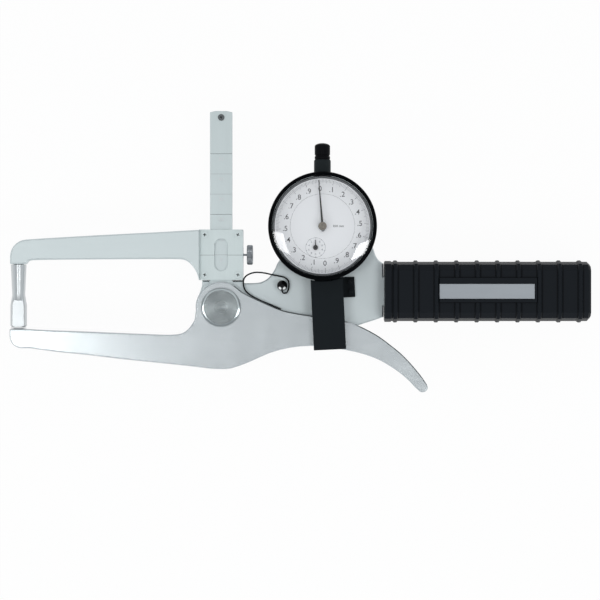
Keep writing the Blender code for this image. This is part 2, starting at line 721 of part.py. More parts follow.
def upper_arm_outline():
    """The fixed jaw's arm, from the anvil's seat over the top and back below."""
    left = -JAW_REACH - ANVIL_SEAT_RADIUS
    inside = slider_left + SLIDER_LEFT_WALL / 2
    corner = (left + UPPER_CORNER_RADIUS, UPPER_ARM_CREST_Y - UPPER_CORNER_RADIUS)
    outline = [(left, UPPER_ARM_SEAT_Y)]
    outline += arc(corner, UPPER_CORNER_RADIUS, math.radians(180), math.radians(92), 7)
    outline += smooth(scaled(UPPER_ARM_TOP_SHARES, JAW_REACH), 2)
    outline.append((inside, slider_top - COVER_CORNER_RADIUS / 4))
    outline.append((inside, slider_bottom + COVER_CORNER_RADIUS / 4))
    outline += smooth(scaled(UPPER_ARM_BOTTOM_SHARES, JAW_REACH), 2)
    outline.append((-JAW_REACH + ANVIL_SEAT_RADIUS, UPPER_ARM_SEAT_Y))
    return outline


def upper_jaw(look, rider):
    """The sliding jaw: a block with a channel for the bar, and its arm."""
    low = (slider_left, slider_bottom, 0)
    high = (slider_right, slider_top, frame_front)
    part = add("upper_jaw", block(low, high), look, rider=rider)
    join(part, plate(upper_arm_outline(), arm_back, lever_front, ARM_CHAMFER, ARM_CHAMFER))
    low = (slider_left - SEAT_GAP, slider_bottom - CUT_OVERRUN, frame_front)
    high = (slider_right + CUT_OVERRUN, slider_top + CUT_OVERRUN, lever_front + CUT_OVERRUN)
    cut(part, block(low, high))
    side = bar_side + RUN_GAP
    low = (-side, slider_bottom - CUT_OVERRUN, bar_back - RUN_GAP)
    high = (side, slider_top + CUT_OVERRUN, frame_front + CUT_OVERRUN)
    cut(part, block(low, high))
    bore = rod(LOCK_SHANK_RADIUS + HOLE_GAP, bar_side, slider_right + CUT_OVERRUN)
    cut(part, bore, (0, index_y, bar_middle), ALONG_X)
    seat = (-JAW_REACH, UPPER_ARM_SEAT_Y, anvil_level)
    cut(part, rod(SPIGOT_RADIUS + HOLE_GAP, -CUT_OVERRUN, SPIGOT_LENGTH), seat, ALONG_Y)
    for x, y in cover_screw_places():
        screw_hole(part, (x, y, cover_screw_level))


def cover_screw_places():
    """Where the cover's four screws go."""
    left = slider_left + COVER_SCREW_LEFT_INSET
    right = slider_right - COVER_SCREW_RIGHT_INSET
    low = slider_bottom + COVER_SCREW_END_INSET
    high = slider_top - COVER_SCREW_END_INSET
    return [(left, high), (right, high), (left, low), (right, low)]


def slider_cover(look, rider):
    """The plate over the bar, with its window."""
    corner = (slider_right - COVER_CORNER_RADIUS, slider_top - COVER_CORNER_RADIUS)
    outline = [(slider_left, slider_bottom), (slider_right, slider_bottom)]
    outline += arc(corner, COVER_CORNER_RADIUS, 0, math.pi / 2, 5)
    outline.append((slider_left, slider_top))
    part = add("slider_cover", plate(outline, cover_back, cover_front), look, rider=rider)
    half = WINDOW_WIDTH / 2
    reach = WINDOW_LENGTH / 2 - half
    window = arc((0, index_y + reach), half, 0, math.pi, 10)
    window += arc((0, index_y - reach), half, math.pi, 2 * math.pi, 10)
    cut(part, plate(window, cover_back - CUT_OVERRUN, cover_front + CUT_OVERRUN))
    for x, y in cover_screw_places():
        screw_hole(part, (x, y, cover_screw_level), sunk=True)


def upper_anvil(look, rider):
    """The long finger under the jaw's arm, ground flat in front near its tip."""
    waist = UPPER_ARM_SEAT_Y - ANVIL_WAIST_Y
    flare = UPPER_ARM_SEAT_Y - ANVIL_FLARE_Y
    tip = UPPER_ARM_SEAT_Y - JAW_TIP_Y - SEAT_GAP / 2
    face = tip - (ANVIL_TIP_RADIUS - ANVIL_FACE_RADIUS)
    profile = [
        (0, SEAT_GAP - SPIGOT_LENGTH), (SPIGOT_RADIUS, SEAT_GAP - SPIGOT_LENGTH),
        (SPIGOT_RADIUS, SEAT_GAP), (ANVIL_SEAT_RADIUS, SEAT_GAP), (ANVIL_WAIST_RADIUS, waist),
        ((ANVIL_WAIST_RADIUS + ANVIL_TIP_RADIUS) / 2, (waist + flare) / 2),
        (ANVIL_TIP_RADIUS, flare), (ANVIL_TIP_RADIUS, face), (ANVIL_FACE_RADIUS, tip), (0, tip),
    ]
    home = (-JAW_REACH, UPPER_ARM_SEAT_Y, anvil_level)
    part = add("upper_anvil", turned(profile, ROUND_SIDES), look, home, DOWN_Y, rider)
    flat = anvil_level + ANVIL_TIP_RADIUS - ANVIL_FLAT_DEPTH
    reach = 2 * ANVIL_TIP_RADIUS
    low = (-JAW_REACH - reach, JAW_TIP_Y - CUT_OVERRUN, flat)
    high = (-JAW_REACH + reach, ANVIL_FLAT_TOP_Y, flat + reach)
    cut(part, block(low, high))


def lock_screw(look, rider):
    """The fluted thumb screw that locks the jaw on the bar."""
    neck = LOCK_NECK
    start = bar_side + SEAT_GAP + LOCK_PAD_LENGTH + SEAT_GAP
    shank = slider_right + neck - start
    outline = []
    for index in range(2 * LOCK_FLUTES):
        radius = LOCK_HEAD_RADIUS - LOCK_FLUTE_DEPTH * (index % 2)
        angle = math.pi * index / LOCK_FLUTES
        outline.append((radius * math.cos(angle), radius * math.sin(angle)))
    edge = LOCK_FLUTE_DEPTH
    head = plate(outline, shank, shank + LOCK_HEAD_LENGTH, edge, edge)
    home = (start, index_y, bar_middle)
    part = add("lock_screw", head, look, home, ALONG_X, rider)
    join(part, rod(LOCK_SHANK_RADIUS, 0, shank + edge, SCREW_SIDES), home, ALONG_X)


def lock_pad(look, rider):
    """The brass slug between the lock screw and the bar."""
    home = (bar_side + SEAT_GAP, index_y, bar_middle)
    add("lock_pad", rod(LOCK_SHANK_RADIUS, 0, LOCK_PAD_LENGTH, SCREW_SIDES), look, home, ALONG_X, rider)


def frame_outline():
    """The frame: bar shoulder, waist, round pad behind the gauge, neck and tang."""
    left = scaled(FRAME_LEFT_SHARES, LEVER_BOSS_RADIUS)
    tang_end = GRIP_START + TANG_LENGTH
    tang_side = TANG_WIDTH / 2
    face = GRIP_START - SEAT_GAP
    outline = left + [(left[-1][0], shoulder_y), (SHOULDER_RIGHT, shoulder_y)]
    outline += smooth(scaled(FRAME_WAIST_SHARES, SPINDLE_REACH))
    outline += arc((SPINDLE_REACH, GAUGE_Y), FRAME_PAD_RADIUS, PAD_START_ANGLE, PAD_END_ANGLE, 22)
    neck = scaled(FRAME_NECK_TOP_SHARES, GRIP_START) + [(face, FRAME_NECK_TOP)]
    outline += smooth(neck, 2)
    outline += [(face, GRIP_CENTRE_Y + tang_side), (tang_end, GRIP_CENTRE_Y + tang_side)]
    outline += [(tang_end, GRIP_CENTRE_Y - tang_side), (face, GRIP_CENTRE_Y - tang_side)]
    lower = [(face, FRAME_NECK_BOTTOM)] + scaled(FRAME_NECK_BOTTOM_SHARES, GRIP_START)
    outline += smooth(lower, 2)
    outline += arc((0, 0), FRAME_BOSS_RADIUS, math.radians(-75), math.radians(-204), 10)
    return outline


def frame_plate(look):
    """The frame, with its slot for the bar's foot and its holes."""
    mesh = plate(frame_outline(), FRAME_BACK, frame_front, FRAME_CHAMFER, FRAME_CHAMFER)
    part = add("frame_plate", mesh, look)
    side = bar_side + SEAT_GAP
    foot = shoulder_y - BAR_FOOT_LENGTH
    low = (-side, foot - SEAT_GAP, bar_back - SEAT_GAP)
    high = (side, shoulder_y + CUT_OVERRUN, frame_front + CUT_OVERRUN)
    cut(part, block(low, high))
    for x in (-side, side):
        relief = rod(RELIEF_RADIUS, bar_back, frame_front + CUT_OVERRUN, SCREW_SIDES)
        cut(part, relief, (x, shoulder_y, 0))
    bottom = FRAME_BACK - CUT_OVERRUN
    top = frame_front + CUT_OVERRUN
    cut(part, rod(PIVOT_THREAD_RADIUS + HOLE_GAP, bottom, top, ROUND_SIDES))
    for x in (-BAR_RIVET_SPACING / 2, BAR_RIVET_SPACING / 2):
        hole = rod(BAR_RIVET_RADIUS + HOLE_GAP, bottom, top, SCREW_SIDES)
        cut(part, hole, (x, shoulder_y - BAR_RIVET_DROP, 0))
    for x in grip_screw_places():
        hole = rod(GRIP_SCREW_SHANK_RADIUS + HOLE_GAP, bottom, top, SCREW_SIDES)
        cut(part, hole, (x, GRIP_CENTRE_Y, 0))
    spigot = rod(POST_NECK_RADIUS + HOLE_GAP, -POST_SPIGOT_LENGTH - HOLE_GAP, CUT_OVERRUN, SCREW_SIDES)
    cut(part, spigot, (post_x, post_y, frame_front))
    for x, y in bracket_screw_places():
        screw_hole(part, (x, y, bracket_screw_level))


def scale_bar(look):
    """The steel bar that the jaw slides on, its foot in the frame's slot."""
    foot = shoulder_y - BAR_FOOT_LENGTH
    crown = BAR_TOP_Y - BAR_CROWN
    outline = [(-bar_side, foot), (bar_side, foot), (bar_side, crown)]
    outline += [(bar_side / 2, BAR_TOP_Y), (-bar_side / 2, BAR_TOP_Y), (-bar_side, crown)]
    part = add("scale_bar", plate(outline, bar_back, frame_front), look)
    bottom = bar_back - CUT_OVERRUN
    top = frame_front + CUT_OVERRUN
    for x in (-BAR_RIVET_SPACING / 2, BAR_RIVET_SPACING / 2):
        hole = rod(BAR_RIVET_RADIUS + HOLE_GAP, bottom, top, SCREW_SIDES)
        cut(part, hole, (x, shoulder_y - BAR_RIVET_DROP, 0))
    screw_hole(part, (0, BAR_TOP_Y - STOP_SCREW_DROP, frame_front + SEAT_GAP), length=STOP_SCREW_LENGTH)


def bar_rivets(look):
    """Two flush rivets through the frame and the bar's foot."""
    for index, side in enumerate((-1, 1)):
        mesh = rod(BAR_RIVET_RADIUS, FRAME_BACK, frame_front, SCREW_SIDES)
        home = (side * BAR_RIVET_SPACING / 2, shoulder_y - BAR_RIVET_DROP, 0)
        add(f"bar_rivet_{index + 1}", mesh, look, home)


def pivot_screw(look):
    """The shouldered pivot screw, whose wide head shows on the front."""
    head = lever_front + SEAT_GAP
    rim = head + PIVOT_KNOB_HEIGHT
    foot = NUT_FLOOR + SEAT_GAP
    profile = [
        (0, foot), (PIVOT_THREAD_RADIUS, foot), (PIVOT_THREAD_RADIUS, lever_back),
        (PIVOT_SHANK_RADIUS, lever_back), (PIVOT_SHANK_RADIUS, head), (PIVOT_KNOB_RADIUS, head),
        (PIVOT_KNOB_RADIUS, rim - PIVOT_KNOB_BEVEL / 2), (PIVOT_KNOB_RADIUS - PIVOT_KNOB_BEVEL, rim),
        (0, rim),
    ]
    add("pivot_screw", turned(profile, KNOB_SIDES), look)


def pivot_nut(look):
    """The round nut behind the frame, closed at its back."""
    top = FRAME_BACK - SEAT_GAP
    hole = PIVOT_THREAD_RADIUS + HOLE_GAP
    profile = [
        (0, 0), (NUT_RADIUS - NUT_EDGE, 0), (NUT_RADIUS, NUT_EDGE), (NUT_RADIUS, top), (hole, top),
        (hole, NUT_FLOOR), (0, NUT_FLOOR),
    ]
    add("pivot_nut", turned(profile, ROUND_SIDES), look)


def grip_screw_places():
    """Where the grip's screws go along it."""
    pitch = (TANG_LENGTH - GRIP_SCREW_INSET - GRIP_SCREW_END_INSET) / (GRIP_SCREW_COUNT - 1)
    return [GRIP_START + GRIP_SCREW_INSET + index * pitch for index in range(GRIP_SCREW_COUNT)]


def grip_stations():
    """Places along the grip with how far its surface stands out there."""
    ease = GRIP_COLLAR_RISE
    stations = [(0, ease), (GRIP_COLLAR_LENGTH - ease, ease), (GRIP_COLLAR_LENGTH, 0)]
    for index in range(RIB_COUNT):
        middle = RIB_FIRST + index * RIB_PITCH
        stations.append((middle - RIB_FOOT_WIDTH / 2, 0))
        stations.append((middle - RIB_TOP_WIDTH / 2, RIB_RISE))
        stations.append((middle + RIB_TOP_WIDTH / 2, RIB_RISE))
        stations.append((middle + RIB_FOOT_WIDTH / 2, 0))
    stations.append((GRIP_LENGTH - GRIP_END_ROUND, 0))
    stations.append((GRIP_LENGTH, -GRIP_END_ROUND))
    return stations


def grip_row(x, rise, start, end):
    """One section of a grip shell: flat front or back, curved sides."""
    flat = GRIP_FLAT_WIDTH / 2
    side = GRIP_HEIGHT / 2 - flat + rise
    row = []
    for index in range(GRIP_CORNER_STEPS + 1):
        angle = start + (end - start) * index / GRIP_CORNER_STEPS
        depth = grip_middle + rise if angle > 0 else grip_middle + min(rise, 0)
        row.append((flat + side * math.cos(angle), grip_middle + depth * math.sin(angle)))
    mirrored = [(-y, z) for y, z in reversed(row)]
    return [(GRIP_START + x, GRIP_CENTRE_Y + y, z) for y, z in row + mirrored]


def grip_shell(name, look, start, end):
    """One moulded half of the grip, ribbed across, with its half of the tang's slot."""
    mesh = bmesh.new()
    rows = []
    for x, rise in grip_stations():
        rows.append([mesh.verts.new(point) for point in grip_row(x, rise, start, end)])
    for lower, upper in zip(rows, rows[1:]):
        bridge_rows(mesh, lower, upper)
    mesh.faces.new(rows[0])
    mesh.faces.new(rows[-1])
    part = add(name, mesh, look)
    side = TANG_WIDTH / 2 + SEAT_GAP
    low = (GRIP_START - CUT_OVERRUN, GRIP_CENTRE_Y - side, FRAME_BACK - SEAT_GAP)
    high = (GRIP_START + TANG_LENGTH + SEAT_GAP, GRIP_CENTRE_Y + side, frame_front + SEAT_GAP)
    cut(part, block(low, high))
    shank = GRIP_SCREW_SHANK_RADIUS + HOLE_GAP
    head = GRIP_SCREW_HEAD_RADIUS + HOLE_GAP
    top = grip_screw_level + GRIP_SCREW_LENGTH + HOLE_GAP
    pocket = grip_screw_level + SEAT_GAP
    profile = [
        (0, -CUT_OVERRUN), (head, -CUT_OVERRUN), (head, pocket), (shank, pocket), (shank, top), (0, top),
    ]
    for x in grip_screw_places():
        cut(part, turned(profile, SCREW_SIDES), (x, GRIP_CENTRE_Y, 0))
    return part


def grip(look):
    """The two grip shells; the front one holds the name plate."""
    split = grip_middle - frame_middle
    half = GRIP_SPLIT_GAP / 2
    front_start = -math.asin((split - half) / grip_middle)
    rear_end = -math.asin((split + half) / grip_middle)
    front = grip_shell("grip_front_shell", look, front_start, math.pi / 2)
    grip_shell("grip_rear_shell", look, -math.pi / 2, rear_end)
    length = PLATE_LENGTH / 2 + SEAT_GAP
    height = PLATE_HEIGHT / 2 + SEAT_GAP
    x = GRIP_START + PLATE_CENTRE_X
    low = (x - length, GRIP_CENTRE_Y - height, GRIP_DEPTH - PLATE_RECESS)
    high = (x + length, GRIP_CENTRE_Y + height, GRIP_DEPTH + RIB_RISE + CUT_OVERRUN)
    cut(front, block(low, high))


def name_plate(look):
    """The bare plate let into the grip."""
    x = GRIP_START + PLATE_CENTRE_X
    back = GRIP_DEPTH - PLATE_RECESS + SEAT_GAP
    low = (x - PLATE_LENGTH / 2, GRIP_CENTRE_Y - PLATE_HEIGHT / 2, back)
    high = (x + PLATE_LENGTH / 2, GRIP_CENTRE_Y + PLATE_HEIGHT / 2, back + PLATE_THICKNESS)
    add("name_plate", block(low, high), look)


def grip_screws(look):
    """Three screws through the rear shell and the tang into the front shell."""
    for index, x in enumerate(grip_screw_places()):
        mesh = screw_mesh(
            GRIP_SCREW_HEAD_RADIUS, GRIP_SCREW_HEAD_HEIGHT, GRIP_SCREW_SHANK_RADIUS, GRIP_SCREW_LENGTH
        )
        home = (x, GRIP_CENTRE_Y, grip_screw_level)
        part = add(f"grip_screw_{index + 1}", mesh, look, home, DOWN_Z)
        cross_recess(part, GRIP_SCREW_HEAD_RADIUS, GRIP_SCREW_HEAD_HEIGHT, home, DOWN_Z)


def spring_post(look):
    """The turned post with a ball head that holds the return spring."""
    base = SEAT_GAP + POST_BASE_HEIGHT
    neck = wire_level + WIRE_RADIUS + RUN_GAP - frame_front
    ball = neck + math.sqrt(POST_BALL_RADIUS ** 2 - POST_NECK_RADIUS ** 2)
    start = math.asin(POST_NECK_RADIUS / POST_BALL_RADIUS)
    profile = [
        (0, -POST_SPIGOT_LENGTH), (POST_NECK_RADIUS, -POST_SPIGOT_LENGTH), (POST_NECK_RADIUS, SEAT_GAP),
        (POST_BASE_RADIUS, SEAT_GAP), (POST_BASE_RADIUS, base), (POST_NECK_RADIUS, base),
    ]
    steps = 6
    for index in range(steps):
        angle = start + (math.pi - start) * index / steps
        profile.append((POST_BALL_RADIUS * math.sin(angle), ball - POST_BALL_RADIUS * math.cos(angle)))
    profile.append((0, ball + POST_BALL_RADIUS))
    add("spring_post", turned(profile, PIN_SIDES), look, (post_x, post_y, frame_front))


def return_spring(look):
    """The bent wire from the post's neck round to the lever's top edge."""
    route = [(x, y, wire_level) for x, y in smooth(scaled(WIRE_ROUTE_SHARES, post_x), WIRE_STEPS)]
    wire("return_spring", route, WIRE_RADIUS, look)


def bracket_place(x, y):
    """A place on the tilted bracket as a place in the world."""
    place = Matrix.Rotation(BRACKET_TILT, 3, "Z") @ Vector((x, y, 0)) + bracket_home
    return place.x, place.y


def bracket_screw_places():
    """Where the bracket's two screws go, in its ear."""
    x = BRACKET_EAR_RIGHT - BRACKET_SCREW_INSET
    high = BRACKET_EAR_TOP_Y - COVER_BOX_TOP_Y - BRACKET_SCREW_END_INSET
    low = BRACKET_BOTTOM_Y - COVER_BOX_TOP_Y + BRACKET_SCREW_END_INSET
    return [bracket_place(x, high), bracket_place(x, low)]


def stem_bracket(look):
    """The block that holds the gauge's stem, with an ear screwed to the frame."""
    right = COVER_BOX_WIDTH - COVER_BOX_LEFT - COVER_BOX_WALL - SEAT_GAP
    bottom = BRACKET_BOTTOM_Y - COVER_BOX_TOP_Y
    low = (-BRACKET_BLOCK_LEFT, bottom, bracket_back)
    high = (right, BRACKET_BLOCK_TOP_Y - COVER_BOX_TOP_Y, bracket_front)
    tilt = (0, 0, BRACKET_TILT)
    part = add("stem_bracket", block(low, high), look, bracket_home, tilt)
    low = (0, bottom, bracket_back)
    high = (BRACKET_EAR_RIGHT, BRACKET_EAR_TOP_Y - COVER_BOX_TOP_Y, bracket_back + BRACKET_BASE_THICKNESS)
    join(part, block(low, high), bracket_home, tilt)
    bore = rod(STEM_RADIUS + HOLE_GAP, STEM_BOTTOM_Y - CUT_OVERRUN, GAUGE_Y, ROUND_SIDES)
    cut(part, bore, (SPINDLE_REACH, 0, spindle_level), ALONG_Y)
    for x, y in bracket_screw_places():
        screw_hole(part, (x, y, bracket_screw_level))


def spindle_cover(look):
    """The thin box over the spindle and the contact pin, open behind and above."""
    low = (-COVER_BOX_LEFT, COVER_BOX_BOTTOM_Y - COVER_BOX_TOP_Y, cover_box_back)
    high = (COVER_BOX_WIDTH - COVER_BOX_LEFT, 0, cover_box_front)
    tilt = (0, 0, BRACKET_TILT)
    part = add("spindle_cover", block(low, high), look, bracket_home, tilt)
    wall = COVER_BOX_WALL
    low = (low[0] + wall, low[1] + wall, low[2] - CUT_OVERRUN)
    high = (high[0] - wall, high[1] + CUT_OVERRUN, cover_box_floor)
    cut(part, block(low, high), bracket_home, tilt)
    room = BEZEL_RADIUS + BEZEL_COVER_GAP
    bottom = cover_box_back - CUT_OVERRUN
    cut(part, rod(room, bottom, cover_box_front + CUT_OVERRUN, GAUGE_SIDES), gauge_centre)


def case_screw_places():
    """Where the four screws of the gauge's back go."""
    places = []
    for angle in BACK_SCREW_ANGLES:
        spoke = Vector((math.cos(angle), math.sin(angle), 0))
        places.append(gauge_centre + spoke * BACK_SCREW_CIRCLE)
    return places


def gauge_back_cover(look):
    """The gauge's back plate, its screws' heads let in behind."""
    back = back_screw_level - SCREW_HEAD_HEIGHT
    mesh = rod(CASE_RADIUS, back, case_back - SEAT_GAP, GAUGE_SIDES)
    part = add("gauge_back_cover", mesh, look, gauge_centre)
    for place in case_screw_places():
        screw_hole(part, (place.x, place.y, back_screw_level), DOWN_Z, sunk=True)


def gauge_case(look):
    """The gauge's cup with its posts, stem holes and arbor holes."""
    inner = CASE_RADIUS - CASE_WALL
    profile = [
        (0, case_front), (CASE_RADIUS, case_front), (CASE_RADIUS, case_back), (inner, case_back),
        (inner, case_floor), (0, case_floor),
    ]
    part = add("gauge_case", turned(profile, GAUGE_SIDES), look, gauge_centre)
    for place in case_screw_places():
        join(part, rod(BACK_POST_RADIUS, case_back, case_front - CASE_FRONT_WALL / 2), place)
    for place in case_screw_places():
        screw_hole(part, (place.x, place.y, back_screw_level), DOWN_Z)
    stem = rod(STEM_RADIUS + HOLE_GAP, 0, CASE_RADIUS + CUT_OVERRUN, ROUND_SIDES)
    place = (SPINDLE_REACH, GAUGE_Y - CASE_RADIUS - CUT_OVERRUN, spindle_level)
    cut(part, stem, place, ALONG_Y)
    sleeve = rod(SLEEVE_RADIUS + HOLE_GAP, 0, CASE_RADIUS + CUT_OVERRUN, ROUND_SIDES)
    cut(part, sleeve, (SPINDLE_REACH, GAUGE_Y, spindle_level), ALONG_Y)
    for place in (gauge_centre, small_hand_centre):
        hole = rod(ARBOR_RADIUS + HOLE_GAP, case_floor - CUT_OVERRUN, case_front + CUT_OVERRUN)
        cut(part, hole, place)


def dial_face(look):
    """The fixed middle of the dial."""
    mesh = rod(DIAL_FACE_RADIUS, dial_back, dial_front, GAUGE_SIDES)
    part = add("dial_face", mesh, look, gauge_centre)
    for place in (gauge_centre, small_hand_centre):
        cut(part, rod(ARBOR_RADIUS + HOLE_GAP, dial_back - CUT_OVERRUN, dial_front + CUT_OVERRUN), place)


def dial_ring(look, rider):
    """The divided ring, flat with a sloped rim, which turns with the bezel."""
    top = dial_front + DIAL_RIM_RISE
    profile = [
        (DIAL_RING_INNER_RADIUS, dial_back), (DIAL_RIM_RADIUS, dial_back), (DIAL_RIM_RADIUS, top),
        (DIAL_RIM_RADIUS - DIAL_RIM_TOP, top), (DIAL_FLAT_RADIUS, dial_front),
        (DIAL_RING_INNER_RADIUS, dial_front),
    ]
    add("dial_ring", turned(profile, GAUGE_SIDES, ring=True), look, gauge_centre, rider=rider)


def bezel(look, rider):
    """The turning bezel with the groove that holds the crystal."""
    inner = CASE_RADIUS + RUN_GAP
    groove = BEZEL_LIP_RADIUS + CRYSTAL_GROOVE + SEAT_GAP
    profile = [
        (inner, bezel_back), (BEZEL_RADIUS - BEZEL_LIP, bezel_back), (BEZEL_RADIUS, bezel_back + BEZEL_LIP),
    ]
    edge = (BEZEL_RADIUS - BEZEL_EDGE, bezel_front - BEZEL_EDGE)
    profile += arc(edge, BEZEL_EDGE, 0, math.pi / 2, 4)
    profile += [
        (BEZEL_LIP_RADIUS, bezel_front), (BEZEL_LIP_RADIUS, crystal_front + SEAT_GAP),
        (groove, crystal_front + SEAT_GAP), (groove, crystal_back - SEAT_GAP),
        (inner, crystal_back - SEAT_GAP),
    ]
    add("bezel", turned(profile, GAUGE_SIDES, ring=True), look, gauge_centre, rider=rider)


def crystal(look, rider):
    """The gauge's slightly domed window."""
    radius = BEZEL_LIP_RADIUS + CRYSTAL_GROOVE
    profile = [
        (0, crystal_back), (radius, crystal_back), (radius, crystal_front),
        (BEZEL_LIP_RADIUS, crystal_front), (BEZEL_LIP_RADIUS / 2, crystal_front + CRYSTAL_DOME * 3 / 4),
        (0, crystal_front + CRYSTAL_DOME),
    ]
    add("crystal", turned(profile, GAUGE_SIDES), look, gauge_centre, rider=rider)


def tube(name, radius, wall, bottom, top, look):
    """A plain sleeve about the spindle."""
    profile = [(radius - wall, bottom), (radius, bottom), (radius, top), (radius - wall, top)]
    home = (SPINDLE_REACH, 0, spindle_level)
    add(name, turned(profile, ROUND_SIDES, ring=True), look, home, ALONG_Y)


def stems(look, sleeve_look):
    """The lower stem and the upper sleeve, seated in the case's wall."""
    inside = CASE_RADIUS - CASE_WALL - STEM_INNER_LENGTH
    tube("lower_stem", STEM_RADIUS, STEM_WALL, STEM_BOTTOM_Y, GAUGE_Y - inside, look)
    tube("upper_stem", SLEEVE_RADIUS, STEM_WALL, GAUGE_Y + inside, SLEEVE_TOP_Y, sleeve_look)


def dust_cap(look):
    """The domed cap over the spindle's upper end."""
    top = cap_foot_y + CAP_HEIGHT
    inner = CAP_RADIUS - CAP_WALL
    profile = [
        (0, top), (CAP_RADIUS / 2, top - CAP_CROWN / 4), (CAP_RADIUS * 5 / 6, top - CAP_CROWN),
        (CAP_RADIUS, top - 2 * CAP_CROWN), (CAP_RADIUS, cap_foot_y), (inner, cap_foot_y),
        (inner, top - 2 * CAP_CROWN), (inner / 2, top - CAP_WALL - CAP_CROWN / 4),
        (0, top - CAP_WALL),
    ]
    home = (SPINDLE_REACH, 0, spindle_level)
    add("dust_cap", turned(profile, ROUND_SIDES), look, home, ALONG_Y)


def spindle(look, rider):
    """The spindle, with a rack cut in its flank and a hole for the guide pin."""
    home = (SPINDLE_REACH, 0, spindle_level)
    mesh = rod(SPINDLE_RADIUS, spindle_foot_y, spindle_top_y, ROUND_SIDES)
    part = add("spindle", mesh, look, home, ALONG_Y, rider)
    module = 2 * rack_pinion_radius / RACK_PINION_TEETH
    pitch = math.pi * module
    line = rack_pinion_radius - SMALL_HAND_SIDE
    tip = line - TOOTH_TIP_SHARE * module
    root = line + TOOTH_ROOT_SHARE * module
    teeth = math.floor(RACK_LENGTH / pitch)
    below = math.floor((RACK_LENGTH - RACK_LEAD) / pitch)
    low = small_hand_centre.y - (below + 1 / 2) * pitch
    high = low + teeth * pitch
    outline = [(-2 * SPINDLE_RADIUS, high), (-2 * SPINDLE_RADIUS, low)]
    for index in range(teeth):
        outline.append((root, low + index * pitch))
        outline.append((tip, low + (index + 1 / 2) * pitch))
    outline.append((root, high))
    reach = SPINDLE_RADIUS + CUT_OVERRUN
    cut(part, plate(outline, -reach, reach), home)
    pin = (SPINDLE_REACH, guide_pin_y, spindle_level)
    cut(part, rod(GUIDE_PIN_RADIUS + HOLE_GAP, 0, SPINDLE_RADIUS + CUT_OVERRUN, ARBOR_SIDES), pin, ALONG_X)


def guide_pin(look, rider):
    """The cross pin that carries the spindle's spring."""
    home = (SPINDLE_REACH, guide_pin_y, spindle_level)
    mesh = rod(GUIDE_PIN_RADIUS, SEAT_GAP, GUIDE_PIN_LENGTH, ARBOR_SIDES)
    add("guide_pin", mesh, look, home, ALONG_X, rider)


def contact_point(look, rider):
    """The spindle's screwed-in tip, which rests on the contact pin."""
    collar = CONTACT_TIP_LENGTH - CONTACT_COLLAR_LENGTH
    profile = [
        (0, 0), (CONTACT_TIP_RADIUS / 2, 0), (CONTACT_TIP_RADIUS, CONTACT_TIP_RADIUS / 2),
        (CONTACT_TIP_RADIUS, collar), (CONTACT_COLLAR_RADIUS, collar),
        (CONTACT_COLLAR_RADIUS, CONTACT_TIP_LENGTH), (0, CONTACT_TIP_LENGTH),
    ]
    home = (SPINDLE_REACH, contact_tip_y, spindle_level)
    add("contact_point", turned(profile, PIN_SIDES), look, home, ALONG_Y, rider)


def spindle_spring(look):
    """The small coil spring that draws the spindle down."""
    top = guide_pin_y - GUIDE_PIN_RADIUS - SEAT_GAP - PULL_WIRE_RADIUS
    bottom = pull_anchor.y + PULL_ANCHOR_RADIUS + SEAT_GAP + PULL_WIRE_RADIUS
    route = []
    count = PULL_SPRING_TURNS * PULL_SPRING_POINTS
    for index in range(count + 1):
        angle = 2 * math.pi * index / PULL_SPRING_POINTS
        x = pull_anchor.x + PULL_SPRING_RADIUS * math.sin(angle)
        z = spindle_level + PULL_SPRING_RADIUS * math.cos(angle)
        route.append((x, bottom + (top - bottom) * index / count, z))
    wire("spindle_spring", route, PULL_WIRE_RADIUS, look)


def gear(teeth, radius, root_angle, back, front):
    """A toothed disc with pointed teeth; one root lies at the given angle."""
    module = 2 * radius / teeth
    outline = []
    for index in range(teeth):
        root = root_angle + 2 * math.pi * index / teeth
        tip = root + math.pi / teeth
        inner = radius - TOOTH_ROOT_SHARE * module
        outer = radius + TOOTH_TIP_SHARE * module
        outline.append((inner * math.cos(root), inner * math.sin(root)))
        outline.append((outer * math.cos(tip), outer * math.sin(tip)))
    return plate(outline, back, front)


def centre_pinion(look, rider):
    """The main hand's arbor with its pinion."""
    radius = GEAR_MODULE * CENTRE_TEETH / 2
    mesh = gear(CENTRE_TEETH, radius, mesh_angle, gear_back, gear_back + CENTRE_PINION_LENGTH)
    part = add("centre_pinion", mesh, look, gauge_centre, rider=rider)
    top = main_hand_level + HAND_THICKNESS
    join(part, rod(ARBOR_RADIUS, gear_front, top, ARBOR_SIDES), gauge_centre)


def rack_gear(look, rider):
    """The small hand's arbor, with the rack's pinion and the large gear."""
    radius = GEAR_MODULE * SECTOR_TEETH / 2
    root = mesh_angle + math.pi + math.pi / SECTOR_TEETH
    mesh = gear(SECTOR_TEETH, radius, root, gear_back, gear_front)
    part = add("rack_gear", mesh, look, small_hand_centre, rider=rider)
    half = RACK_PINION_LENGTH / 2
    pinion = gear(RACK_PINION_TEETH, rack_pinion_radius, 0, spindle_level - half, spindle_level + half)
    join(part, pinion, small_hand_centre)
    top = small_hand_level + HAND_THICKNESS
    join(part, rod(ARBOR_RADIUS, arbor_foot, top, ARBOR_SIDES), small_hand_centre)


